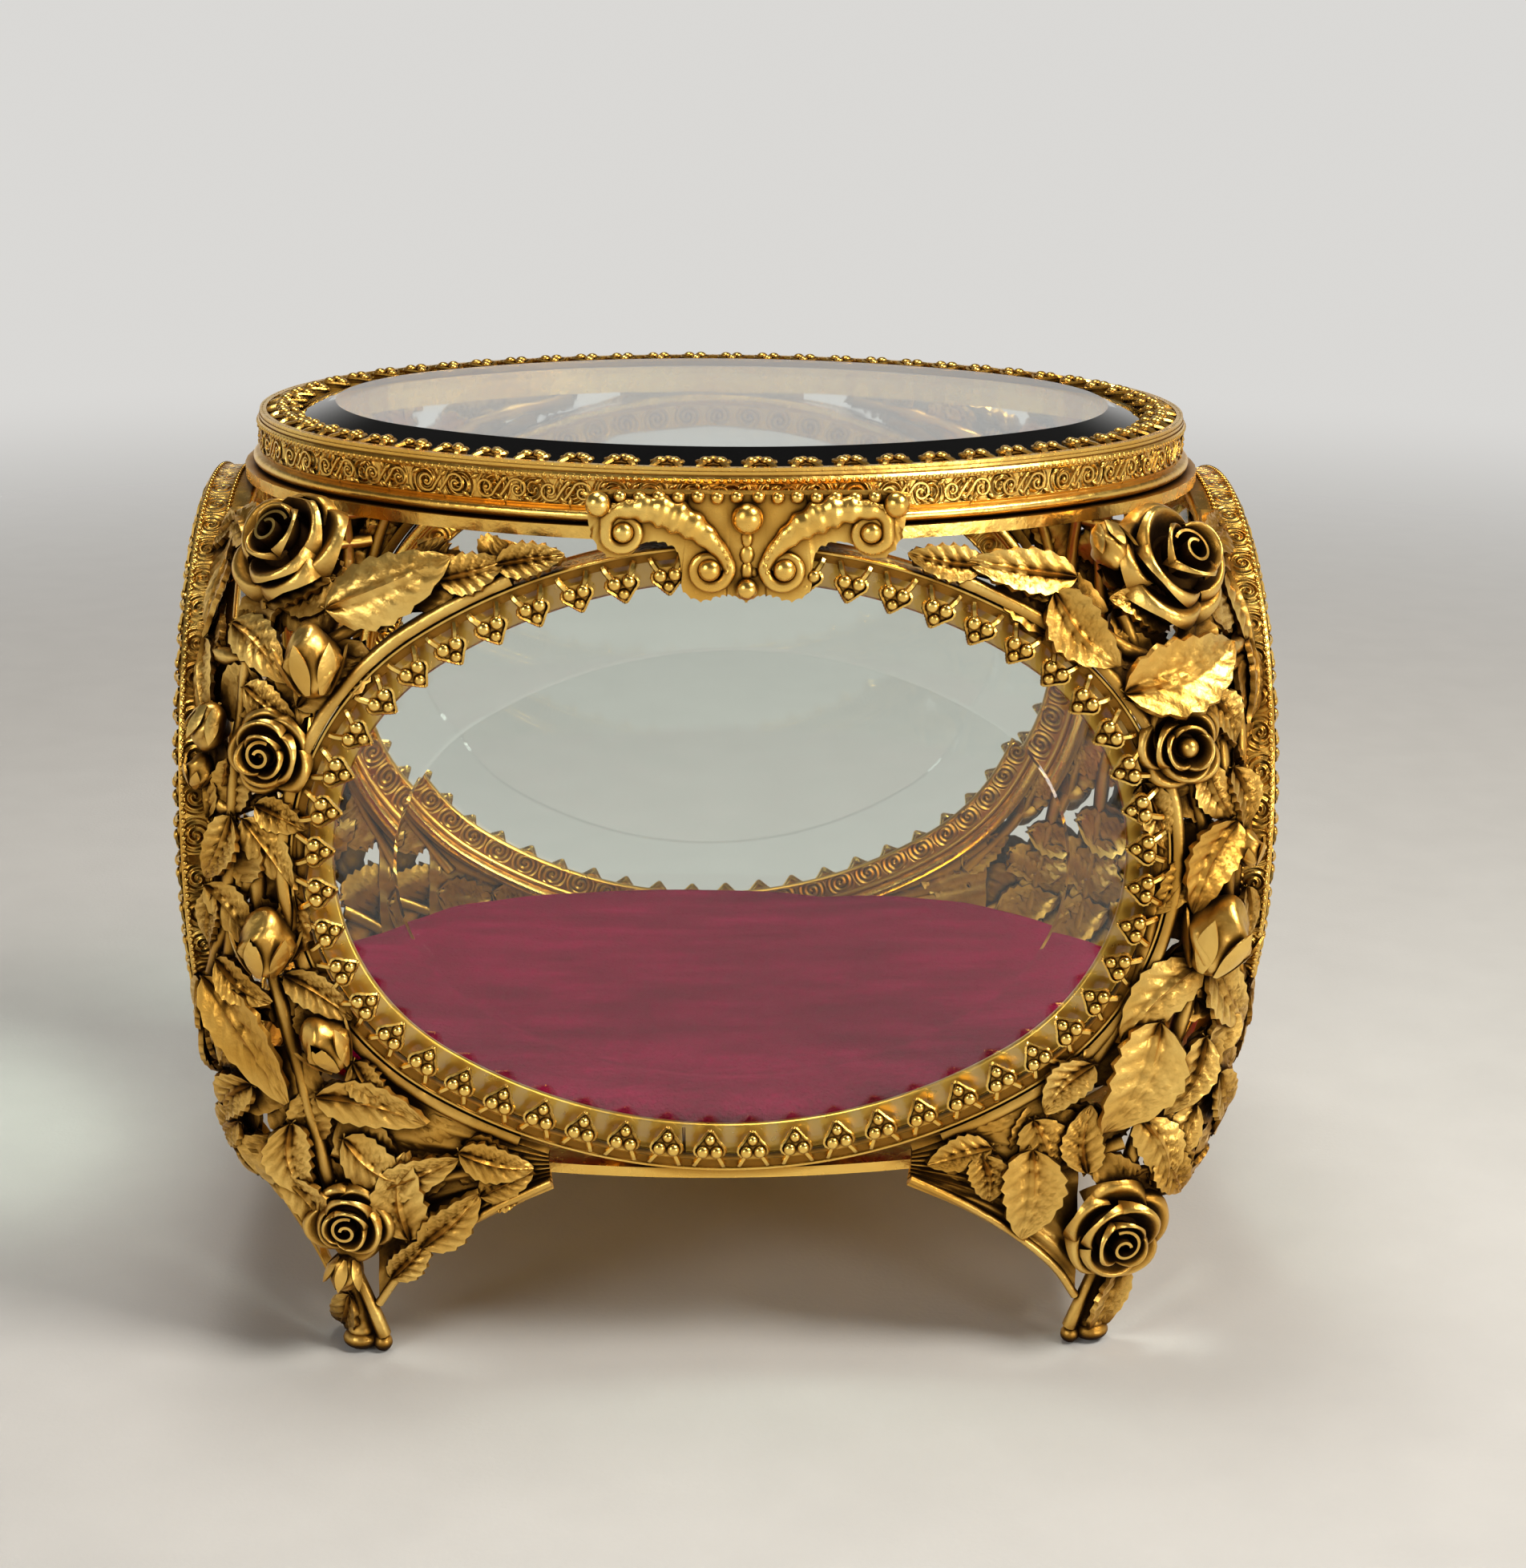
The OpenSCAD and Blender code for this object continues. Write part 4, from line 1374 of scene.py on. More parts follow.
@dataclass(frozen=True)
class Leaf:
    """A veined leaf from base to tip.

    a, z and a2, z2 are the base's and tip's places; wide is its width, lift its height over
    the corner, curl how far it cups and droops, fine the points across it, and veins and
    teeth how many there are along each side.
    """

    a: float
    z: float
    a2: float
    z2: float
    wide: float
    lift: float = 0.6
    curl: float = 0.5
    fine: int = 13
    veins: float = 6.2
    teeth: float = 6.5
    thick: float = 0.7

    def build(self, corner: Corner, rng: np.random.Generator) -> tuple[np.ndarray, list]:
        """The leaf's points and faces.

        Args:
            corner: the surface that it lies on.
            rng: gives the random changes.
        Returns:
            Points and faces.
        """
        nu, nv = self.fine, 2 * self.fine - 4
        u = np.linspace(-1, 1, nu)
        v = np.linspace(0, 1, nv)
        mid = corner.normal((self.a + self.a2) / 2, (self.z + self.z2) / 2)
        p0, p1 = corner.point(self.a, self.z), corner.point(self.a2, self.z2)
        chord = p1 - p0
        length = float(np.linalg.norm(chord))
        side = unit(np.cross(mid, chord))
        along = np.array([corner.point(self.a + (self.a2 - self.a) * t, self.z + (self.z2 - self.z) * t)
                          for t in v])
        spine = 0.5 * along + 0.5 * (p0 + v[:, None] * chord)
        bend = rng.uniform(-0.14, 0.14) * length
        spine = spine + side * (bend * np.sin(math.pi * v))[:, None]
        shape = np.sin(math.pi * v ** 0.82) ** 0.72 * (1 - 0.25 * v)
        bite = 1 + 0.2 * (((v * self.teeth) % 1) - 0.45) * (v > 0.12) * (v < 0.97)
        half = self.wide * 0.60 * shape * bite + 0.15
        cup = rng.uniform(0.6, 1.7) * self.curl * (1 if rng.random() < 0.7 else -1)
        twist = rng.uniform(-0.25, 0.25)
        uu, vv = np.meshgrid(u, v, indexing="ij")
        vein = np.cos((vv * self.veins - np.abs(uu) * 1.35) * TAU) * np.minimum(np.abs(uu) * 4, 1)
        vein = vein * (1 - np.abs(uu) ** 3)
        rib = np.exp(-(uu / 0.10) ** 2) - 0.8 * np.exp(-((np.abs(uu) - 0.2) / 0.12) ** 2)
        high = (self.lift + 0.9 * np.sin(math.pi * vv) * self.curl
                + cup * 0.32 * self.wide * np.abs(uu) ** 1.6 * shape[None, :] * 0.5
                + twist * uu * self.wide * 0.35 * vv
                + 0.30 * vein * np.sin(math.pi * vv) ** 0.6 + 0.42 * rib * (1 - vv ** 2)
                - 0.9 * np.maximum(vv - 0.75, 0) * 2.0 * self.curl)
        top = (spine[None, :, :] + side[None, None, :] * (uu * half[None, :])[..., None]
               + mid[None, None, :] * high[..., None])
        return shell(top[::-1], self.thick)


@dataclass(frozen=True)
class Rose:
    """An open rose: a rolled heart in turns of cupped petals.

    a and z are its place, r its radius, and ball_heart gives it a ball for its rolled heart.
    Each turn of petals has a count, half a petal's span in degrees, its inner and outer reach,
    its low and high level, and how far its rim rolls over.
    """

    a: float
    z: float
    r: float
    ball_heart: bool = False
    turns: tuple[tuple[float, ...], ...] = (
        (5, 46, 0.42, 1.14, 0.0, 0.30, 1.2), (3, 66, 0.34, 0.86, 0.06, 0.60, 1.0),
        (3, 74, 0.22, 0.58, 0.14, 0.84, 0.7))
    stagger: float = 38.0
    coil: float = 1.25
    thick: tuple[float, float] = (0.5, 0.4)

    def petal(self, start: float, span: float, r0: float, r1: float, low: float, high: float,
              roll: float, rng: np.random.Generator) -> tuple[np.ndarray, list]:
        """One cupped petal round the rose's axis.

        Args:
            start: the direction of its middle, in degrees.
            span: half of what it spans, in degrees.
            r0: inner reach, as a share of the radius.
            r1: outer reach.
            low: level of its foot.
            high: level of its rim.
            roll: how far its rim rolls over.
            rng: gives the random changes.
        Returns:
            Points and faces.
        """
        s = np.linspace(-1, 1, 15)
        t = np.linspace(0, 1, 11)
        ss, tt = np.meshgrid(s, t, indexing="ij")
        size, lean = rng.uniform(0.9, 1.08), rng.uniform(-0.09, 0.09)
        ang = math.radians(start) + ss * math.radians(span) * (0.62 + 0.38 * np.sin(math.pi * tt * 0.75))
        crest = 1 - 0.32 * np.abs(ss) ** 2.2 + 0.03 * np.sin(ss * 4 + rng.uniform(0, 6))
        open_ = r0 + (r1 * size - r0) * (1 - (1 - tt) ** 1.7) * crest
        rim = np.clip((tt - 0.66) / 0.34, 0, 1)
        fold = roll * (0.45 + 0.8 * np.abs(ss) ** 1.5)
        rad = self.r * (open_ + fold * 0.12 * rim ** 2)
        z = self.r * (low + lean * ss + (high - low) * np.sin(tt * math.pi / 2 * 0.98) ** 1.1 * crest
                      - fold * 0.26 * rim ** 2)
        top = np.stack([rad * np.cos(ang), rad * np.sin(ang), z], 2)
        return shell(top[::-1], self.thick[0])

    def round(self, up: float, wide: float, tall: float, rings: int, sides: int) -> tuple[np.ndarray, list]:
        """A ball on the rose's axis, with its level and radii as shares of the rose's radius."""
        return ball((0, 0, up * self.r), (wide * self.r, wide * self.r, tall * self.r), rings, sides)

    def build(self, corner: Corner, rng: np.random.Generator) -> Shape:
        """The whole rose, laid on the corner.

        Args:
            corner: the surface that it lies on.
            rng: gives the random changes.
        Returns:
            The shape, in place.
        """
        s = Shape()
        turn = rng.uniform(0, 360)
        for count, span, r0, r1, low, high, roll in self.turns:
            for i in range(count):
                at = turn + (i + rng.uniform(-0.12, 0.12)) * 360 / count
                s.add(*self.petal(at, span, r0, r1, low, high + rng.uniform(-0.05, 0.08), roll, rng))
            turn += self.stagger
        if self.ball_heart:
            s.add(*self.round(0.5, 0.27, 0.32, 10, 16))
        else:
            a = np.linspace(0, self.coil * TAU, 36)
            t = np.linspace(0, 1, 6)
            aa, tt = np.meshgrid(a, t, indexing="ij")
            r = self.r * (0.07 + 0.031 * aa) * (1 + 0.12 * tt)
            z = self.r * (0.2 + 0.62 * tt - 0.014 * aa)
            top = np.stack([r * np.cos(aa), r * np.sin(aa), z], 2)
            s.add(*shell(top[::-1], self.thick[1]))
            s.add(*self.round(0.30, 0.16, 0.34, 8, 12))
        s.add(*self.round(0.05, 0.62, 0.3, 8, 16))
        lean = corner.lay(self.a, self.z, self.a - 9, self.z + 7, 0.1)
        return Shape().join(s, lean)


@dataclass(frozen=True)
class Bud:
    """A closed bud with folded petals and sepals."""

    a: float
    z: float
    r: float
    up: bool = True
    sepals: int = 5
    thick: float = 0.35

    def build(self, corner: Corner, rng: np.random.Generator) -> Shape:
        """The bud, laid on the corner with its tip along the corner.

        Args:
            corner: the surface that it lies on.
            rng: gives the random changes.
        Returns:
            The shape, in place.
        """
        s = Shape()
        v, f = ball((0, 0, 0), (1, 1, 1), 18, 28)
        ang = np.arctan2(v[:, 2], v[:, 1])
        folds = 1 + 0.10 * np.cos(3 * (ang + 1.6 * v[:, 0])) + 0.05 * np.cos(6 * (ang + 1.2 * v[:, 0]))
        taper = 1 - 0.28 * np.clip(v[:, 0], 0, 1)
        w = np.stack([v[:, 0] * 1.12 * self.r, v[:, 1] * 0.86 * self.r * folds * taper,
                      v[:, 2] * 0.82 * self.r * folds * taper + 0.3 * self.r], 1)
        s.add(w, f)
        uu, tt = np.meshgrid(np.linspace(-1, 1, 7), np.linspace(0, 1, 12), indexing="ij")
        for k in range(self.sepals):
            a0 = math.radians(-70 + 55 * k)
            half = 0.34 * np.sin(math.pi * (0.12 + 0.88 * tt) ** 0.9) * (1 - 0.2 * tt)
            ang = a0 + uu * half / 0.9
            rad = self.r * (0.80 * np.sin(math.pi * (0.12 + 0.5 * tt)) + 0.16 + 0.22 * tt ** 3)
            x = self.r * (-1.05 + 1.5 * tt)
            top = np.stack([x, rad * np.cos(ang), rad * np.sin(ang) + 0.3 * self.r], 2)
            s.add(*shell(top, self.thick))
        aim = 8 if self.up else -8
        return Shape().join(s, corner.lay(self.a, self.z, self.a + rng.uniform(-3, 3), self.z + aim, 0.2))


@dataclass(frozen=True)
class Spray:
    """The roses, buds, leaves and stems of one corner pattern."""

    roses: tuple[Rose, ...]
    buds: tuple[Bud, ...]
    leaves: tuple[Leaf, ...]
    stems: tuple[Pairs, ...]
    seed: int


CABBAGE = Spray(
    roses=(Rose(35, 110.5, 7.0), Rose(40, 86, 5.0), Rose(45, 21, 5.0)),
    buds=(Bud(43, 98, 4.3), Bud(34, 88, 3.0, False), Bud(40, 61, 4.3), Bud(44, 47, 3.7),
          Bud(44, 13, 2.8, False), Bud(33, 82, 2.3)),
    leaves=(Leaf(43, 104, 54, 111, 8.2, 1.6, 0.8), Leaf(53, 108.5, 60, 111, 4.6),
            Leaf(59, 110.5, 67, 112, 3.8), Leaf(27, 110, 19, 110.5, 5.4), Leaf(26, 107, 28, 98, 5.4),
            Leaf(33, 101, 41, 95, 5.6), Leaf(29, 98, 33, 88, 5.0), Leaf(39, 79, 43, 76, 4.0),
            Leaf(37, 77, 34, 68, 4.8), Leaf(38, 77, 42, 68, 5.2), Leaf(34, 67, 39, 59, 5.4),
            Leaf(35, 57, 40, 52, 4.6), Leaf(33, 54, 41, 38, 7.2, 1.2), Leaf(43, 39, 52, 35, 5.6),
            Leaf(41, 35, 42, 24, 6.0), Leaf(45, 33, 51, 26, 6.0), Leaf(50, 18, 50, 31, 6.8),
            Leaf(55, 31, 63, 28.5, 4.6), Leaf(30, 46, 25, 35, 6.0), Leaf(44, 9, 38, 0.8, 4.2, 0.8),
            Leaf(57, 24.5, 63, 28, 4.6, 0.4), Leaf(51, 17, 57, 25, 5.2, 0.6),
            Leaf(48, 12, 52, 18.5, 4.0, 0.4), Leaf(36, 104, 42, 108, 5.0, 0.2),
            Leaf(37, 94, 42, 90, 4.6, 0.2), Leaf(42, 92, 47, 98, 5.0, 0.4), Leaf(41, 56, 46, 50, 4.4, 0.2),
            Leaf(42, 67, 40, 57, 4.4, 0.1), Leaf(38, 48, 34, 41, 5.0, 0.2), Leaf(38, 40, 33, 33, 5.2),
            Leaf(46, 44, 49, 38, 4.2), Leaf(47, 103, 50, 106, 5.0, 0.1), Leaf(34, 76, 32, 84, 4.2, 0.1),
            Leaf(35, 66, 33.5, 58, 4.2, 0.1), Leaf(31, 52, 27, 44, 5.0), Leaf(47, 25, 55, 30, 4.6),
            Leaf(40, 27, 43, 17, 5.0), Leaf(36, 34, 31, 29, 5.4), Leaf(44, 26, 48, 18, 5.2, 0.2),
            Leaf(22, 111, 17, 108, 4.4), Leaf(25, 40, 20, 34, 4.6)),
    stems=(((26, 111), (35, 105), (40, 86), (39, 66), (41, 48), (43, 30), (44, 14)),
           ((66, 111.8), (57, 110), (50, 107), (42, 99), (33, 97), (27.5, 98)),
           ((40, 80), (35, 78), (32, 90)), ((39, 70), (35, 60), (31, 51)), ((40, 50), (30, 47), (23, 37)),
           ((62, 29), (51, 27), (44, 31)), ((43, 106), (42, 90), (42.5, 74), (42, 60), (44.5, 46), (50, 36)),
           ((36, 98), (36.5, 84), (36.5, 70), (36, 56), (33, 46), (27, 37))),
    seed=11)

RIBBON = Spray(
    roses=(Rose(36.5, 108.5, 7.6), Rose(41, 87, 5.2, True), Rose(44, 18, 6.4)),
    buds=(Bud(38, 61, 5.1), Bud(43, 111.5, 3.0, False), Bud(35, 72, 2.4)),
    leaves=(Leaf(48, 108.5, 60, 111, 5.0, 1.0), Leaf(58, 110.5, 67, 112.2, 4.0),
            Leaf(51, 107, 46, 97.5, 6.6, 1.4), Leaf(46, 94, 33.5, 99, 8.6, 1.6, 1.0),
            Leaf(27, 110, 19, 110.5, 5.4), Leaf(27.5, 106, 29, 96, 5.2), Leaf(39, 84, 36, 76, 4.8),
            Leaf(36, 83, 35, 74, 4.8), Leaf(36, 76, 40, 64, 6.8, 1.0), Leaf(38, 57, 32, 46, 6.4),
            Leaf(39, 57, 45, 46, 7.0, 1.0), Leaf(38, 46, 41, 35, 5.4), Leaf(42, 49, 46, 33, 9.4, 1.2),
            Leaf(52, 35, 50, 27, 6.0), Leaf(43, 35, 40, 24, 6.0, 1.0), Leaf(52, 31, 52.5, 17.5, 7.8, 1.2),
            Leaf(56, 31, 63, 28.5, 4.6), Leaf(29, 47, 25, 35, 5.6), Leaf(42, 12, 44, 0.6, 5.4, 1.0),
            Leaf(29, 98, 33, 88, 5.0), Leaf(49, 109, 54, 107, 4.4, 0.4), Leaf(44, 82, 42, 73, 4.4, 0.2),
            Leaf(38, 93, 35, 86, 4.8, 0.3), Leaf(34, 66, 33.5, 57, 4.4, 0.2), Leaf(47, 43, 51, 36, 5.0),
            Leaf(36, 40, 32, 32, 5.4), Leaf(38, 36, 42, 27, 5.0, 0.2), Leaf(40, 72, 43, 64, 4.4, 0.1),
            Leaf(47, 27, 47, 37, 5.2, 0.6), Leaf(57, 30, 56, 23, 5.0), Leaf(41, 30, 37, 22, 5.2),
            Leaf(40, 102, 45, 106, 4.8, 0.2), Leaf(31, 50, 27, 42, 5.0), Leaf(22, 111, 17, 108, 4.4),
            Leaf(25, 40, 20, 34, 4.6), Leaf(37, 52, 41, 58, 4.6, 0.1)),
    stems=(((26, 111), (36, 104), (40, 86), (38, 66), (40, 48), (43, 30), (44, 14)),
           ((66, 111.8), (57, 110), (50, 107), (44, 99), (33, 98), (27.5, 98)),
           ((42, 93), (34, 91), (35, 76), (38, 66)), ((39, 50), (30, 47), (23, 37)),
           ((40, 57), (43, 50), (42, 40)), ((62, 29), (52, 27), (44, 31)),
           ((44, 104), (42.5, 90), (42.5, 74), (43, 62), (45, 48), (50, 36)),
           ((36, 98), (36.5, 84), (36.5, 70), (35.5, 56), (32, 45), (27, 37)),
           ((34, 96), (29.5, 95.5), (26.5, 91), (27.5, 85), (31.5, 79.5), (33.5, 73), (31, 68))),
    seed=23)


@dataclass(frozen=True)
class Castings:
    """The four pierced corner castings.

    Each strap's section is given as distance from the ring and height over the face, and low
    and high bound the casting as its solid does.
    """

    bench: Bench
    gold: bpy.types.Material
    corner: Corner = Corner()
    front_strap: Pairs = (
        (0.0, -2.4), (0.0, 0.1), (0.5, 0.35), (1.1, 0.35), (1.55, 0.0), (1.5, -2.4))
    side_strap: Pairs = (
        (-0.1, -6.6), (-0.1, -4.6), (0.3, -4.3), (0.9, -4.3), (1.3, -4.7), (1.3, -6.6))
    strap_top: float = 68.0
    strap_steps: int = 64
    ribs: int = 8
    web_rows: int = 40
    web_thick: float = 0.9
    seam: float = 0.62
    low: tuple[float, float, float] = (18.0, -56.3, 0.0)
    high: tuple[float, float, float] = (74.0, -17.6, 117.0)
    under_step: float = 5.6
    sunk: float = 0.9

    def strap(self, oval: Oval, face: Placing, flip: bool, low: float) -> Shape:
        """The strap that hugs a window ring from the mouth to the web's tip.

        Args:
            oval: the ring's edge.
            face: the ring's face.
            flip: whether it lies to the left of its face, on the side ring.
            low: how far down it reaches, in degrees.
        Returns:
            The shape.
        """
        outer = oval.inset(-0.2)
        sign, section = (-1, self.side_strap) if flip else (1, self.front_strap)
        rows = []
        for d in np.linspace(-math.radians(low), math.radians(self.strap_top), self.strap_steps):
            x, y = outer.at(d)
            rows.append([(sign * (x + o * math.cos(d)), y + o * math.sin(d), h) for o, h in section])
        faces = [f[::sign] for f in skin(len(rows), len(section))]
        return Shape().add(face.put(np.array(rows).reshape(-1, 3)), faces)

    def web(self, edge: np.ndarray, lower: np.ndarray, out: np.ndarray) -> Shape:
        """A ribbed web between a window ring's strap and the leg.

        Args:
            edge: its upper edge, from the middle of the face outward.
            lower: its lower edge, with as many points.
            out: the direction in which its ribs stand.
        Returns:
            The shape.
        """
        t = np.linspace(0, 1, self.web_rows)
        grid = edge[:, None, :] * (1 - t)[None, :, None] + lower[:, None, :] * t[None, :, None]
        ribs = 0.24 * np.cos(t * self.ribs * TAU) + 3.0 * np.maximum(t - 0.8, 0)
        grid = grid + out * ribs[None, :, None]
        normal = unit(np.cross(np.gradient(grid, axis=0), np.gradient(grid, axis=1)))
        if float((normal * out).sum()) < 0:
            grid = grid[::-1]
        return Shape().add(*shell(grid, self.web_thick))

    def hem(self, oval: Oval, at: float) -> float:
        """The height of a ring's lower outer edge at a distance from its middle.

        Args:
            oval: the ring's edge.
            at: the distance.
        Returns:
            The height.
        """
        pts = np.array([oval.inset(-1.2).at(d) for d in np.linspace(math.pi / 2, 0, 200)])
        return SIZES.window_z - float(np.interp(abs(at), pts[:, 0], pts[:, 1]))

    def leg(self) -> Shape:
        """The leg, its scrolled foot and the two webs.

        Returns:
            The shape, in place.
        """
        fx, fy = SIZES.foot
        s = Shape()
        knee = self.corner.point(43, 24) - [1.5, -1.5, 0]
        path = smooth_path([knee, (fx + 1.6, fy - 0.4, 17), (fx + 0.8, fy - 0.2, 10), (fx, fy, 4),
                            (fx - 0.1, fy, 1.5)], 7)
        t = np.linspace(0, 1, len(path))
        thick = 2.6 - 1.1 * np.sin(math.pi * np.minimum(t * 0.62 + 0.2, 1)) + 0.25 * np.cos(t * 30) * t
        s.add(*tube(path, thick, 14, 1.0, (1, 0, 0)))
        s.add(*ball((fx, fy, 1.5), (2.6, 2.5, 1.5), 8, 16))
        s.add(*ball((fx - 3.0, fy - 1.2, 1.3), (1.3, 1.3, 1.3), 10, 14))
        curl = smooth_path([(fx + 0.6, fy - 1.4, 13), (fx - 1.8, fy - 1.9, 7), (fx - 3.2, fy - 1.6, 2.6)], 6)
        s.add(*tube(curl, np.linspace(0.8, 1.0, len(curl)), 8))
        front = [(x, -51.4, self.hem(SIZES.window, x)) for x in np.linspace(24.5, 47, 26)]
        right = [(71.6, y, self.hem(SIZES.side, y)) for y in np.linspace(-19, -37, 22)]
        for edge, foot, out, shift in (
                (front, [(24.2, -51.6, 26.2), (32, -51.4, 22.2), (39, -51.0, 17.5), (44.5, -50.5, 12.5),
                         (47.8, -49.8, 7.5)], (0.0, -1.0, 0.0), (0.0, -0.5, 0.2)),
                (right, [(70.6, -18.6, 26.2), (66.5, -27, 21.5), (61.5, -35, 16.5), (56.5, -41.5, 12),
                         (53.3, -45.6, 7.5)], (1.0, -0.25, 0.0), (0.4, 0.0, 0.2))):
            lower = resample(smooth_path(foot, 7), len(edge))
            s.join(self.web(np.array(edge), lower, unit(out)))
            s.add(*tube(lower + shift, self.seam, 8))
        return s

    def spray(self, spray: Spray) -> Shape:
        """One pattern in the front right quarter.

        Args:
            spray: the pattern.
        Returns:
            The shape, in place.
        """
        rng = np.random.default_rng(spray.seed)
        s = Shape()
        s.join(self.strap(SIZES.window, SIZES.face(Side.FRONT), False, 68.0))
        s.join(self.strap(SIZES.side, SIZES.face(Side.RIGHT), True, 66.0))
        for path in spray.stems:
            line = [self.corner.point(a, z) - self.sunk * self.corner.normal(a, z) for a, z in path]
            line = smooth_path(line, 7)
            up = self.corner.normal(*path[len(path) // 2])
            s.add(*tube(line, 1.05 + 0.14 * np.cos(np.arange(len(line)) * 0.9), 8, 1.0, tuple(up)))
        for flower in spray.roses + spray.buds:
            s.join(flower.build(self.corner, rng))
        for leaf in spray.leaves + tuple(self.fill(rng)):
            s.add(*leaf.build(self.corner, rng))
        s.join(self.leg())
        return Shape().add(np.clip(s.points(), self.low, self.high), s.faces, np.vstack(s.uvs))

    def fill(self, rng: np.random.Generator) -> list[Leaf]:
        """Small leaves under the large ones, all over the space between the rings.

        Args:
            rng: gives the random changes.
        Returns:
            The leaves.
        """
        out = []
        for z in np.r_[np.arange(25.0, 50.0, 3.6), np.arange(50.0, 113.0, 4.6)]:
            low, high = self.corner.span(z)
            count = max(1, round((high - low) / self.under_step))
            for i in range(count):
                a = low + (high - low) * (i + 0.5) / count + rng.uniform(-1.2, 1.2)
                aim = rng.uniform(0, TAU)
                z2 = float(np.clip(z + 8.5 * math.sin(aim), 24.0, 112.5))
                lo2, hi2 = self.corner.span(z2)
                a2 = float(np.clip(a + 6.5 * math.cos(aim), lo2 - 0.5, hi2 + 0.5))
                if abs(a2 - a) + abs(z2 - z) > 4.0:
                    out.append(Leaf(a, z, a2, z2, rng.uniform(4.8, 6.8), rng.uniform(-1.4, -0.2), 0.5, 10))
        return out

    def build(self) -> None:
        """Makes the four castings."""
        cabbage, ribbon = self.spray(CABBAGE), self.spray(RIBBON)
        for name, shape, flip, turn in (
                ("front_left", cabbage, True, False), ("front_right", ribbon, False, False),
                ("back_left", ribbon, False, True), ("back_right", cabbage, True, True)):
            obj = self.bench.link(name + "_roses", shape.mirrored(flip, turn), self.gold, 60)
            self.bench.ride(obj, Body.BOX, name + "_casting", name + "_casting")


@dataclass(frozen=True)
class Pad:
    """The velvet pad: a crowned oval cushion with drawn-in sides.

    profile runs from its base to its crown, as distance from the edge and share of its
    height; from deep on, its rings shrink toward the middle. The cloth swells from a mesh
    of size voxel under a pressure for some frames, and moves by most at the most, with less
    of that sideways.
    """

    bench: Bench
    velvet: bpy.types.Material
    profile: Pairs = (
        (1.4, 0.0), (0.55, 0.05), (0.1, 0.14), (0.0, 0.26), (0.12, 0.38), (0.55, 0.50), (1.3, 0.61),
        (2.6, 0.71), (4.6, 0.79), (7.5, 0.86), (12.0, 0.92), (18.0, 0.96), (24.0, 0.985), (30.0, 1.0))
    points: int = 160
    seed: int = 5
    inset: float = 0.35
    deep: float = 12.0
    voxel: float = 3.2
    pressure: float = 3.0
    most: float = 1.1
    sideways: float = 0.35
    frames: int = 16

    def puff(self, obj: bpy.types.Object) -> None:
        """Swells the pad a little as cloth, with its movement held within a cap.

        Args:
            obj: the pad, already in place.
        """
        scene = bpy.context.scene
        finish = obj.data.materials[0]
        reach = np.array([v.co for v in obj.data.vertices]).max(0)
        remesh = obj.modifiers.new("remesh", "REMESH")
        remesh.mode, remesh.voxel_size = "VOXEL", self.voxel * MM
        self.bench.bake(obj)
        start = np.array([v.co for v in obj.data.vertices])
        cloth = obj.modifiers.new("cloth", "CLOTH")
        cloth.settings.quality = 5
        cloth.settings.use_pressure = True
        cloth.settings.uniform_pressure_force = self.pressure
        cloth.settings.effector_weights.gravity = 0.0
        cloth.point_cache.frame_start, cloth.point_cache.frame_end = 1, self.frames
        for number in range(1, self.frames + 1):
            scene.frame_set(number)
        self.bench.bake(obj)
        moved = np.array([v.co for v in obj.data.vertices]) - start
        far = np.linalg.norm(moved, axis=1, keepdims=True) + 1e-9
        moved *= np.minimum(1.0, self.most * MM / far)
        place = start + moved * np.array([self.sideways, self.sideways, 1.0])
        place[:, 2] = np.clip(place[:, 2], SIZES.pad_z * MM, (SIZES.pad_z + SIZES.pad_h) * MM)
        obj.data.vertices.foreach_set("co", place.ravel())
        obj.modifiers.new("smooth", "SMOOTH").iterations = 3
        subdivide = obj.modifiers.new("subdivide", "SUBSURF")
        subdivide.levels = subdivide.render_levels = 1
        self.bench.bake(obj)
        place = np.array([v.co for v in obj.data.vertices])
        place[:, :2] *= (reach / place.max(0))[:2]
        obj.data.vertices.foreach_set("co", place.ravel())
        obj.data.update()
        obj.data.shade_smooth()
        obj.data.materials.clear()
        obj.data.materials.append(finish)
        scene.frame_set(1)

    def build(self) -> None:
        """Makes the pad as rings of points from its base to its crown."""
        rng = np.random.default_rng(self.seed)
        count, h, oval = self.points, SIZES.pad_h, SIZES.pad
        _, dirs, _ = oval.samples(count)
        around = np.arange(count) * TAU / count
        wave = sum(rng.uniform(0.05, 0.16) * np.cos(k * around + rng.uniform(0, 6)) for k in (3, 5, 8, 13))
        edge = np.array([oval.at(a) for a in dirs])
        away = np.stack([np.cos(dirs), np.sin(dirs)], 1)
        rows = []
        for d, z in self.profile:
            pts = edge - away * (d + self.inset + wave * (0.5 if z < 0.6 else 0.2))[:, None]
            if d > self.deep:
                pts = edge * (oval.b - d) / oval.b
            soft = 0.16 * np.cos(around * 4 + z * 5) * (z > 0.3)
            rows.append(np.c_[pts, SIZES.pad_z + h * z * 0.99 + soft * (z < 0.97)])
        rows.append([[0, 0, SIZES.pad_z + h * 0.995]])
        n = len(self.profile)
        faces = skin(n, count, high=False)
        faces += [((n - 1) * count + i, (n - 1) * count + (i + 1) % count, n * count) for i in range(count)]
        obj = self.bench.link("velvet_cushion", Shape().add(np.vstack(rows), faces), self.velvet, 80)
        self.puff(obj)
        self.bench.ride(obj, Body.BOX, "velvet_pad", "velvet_pad")


# Studio


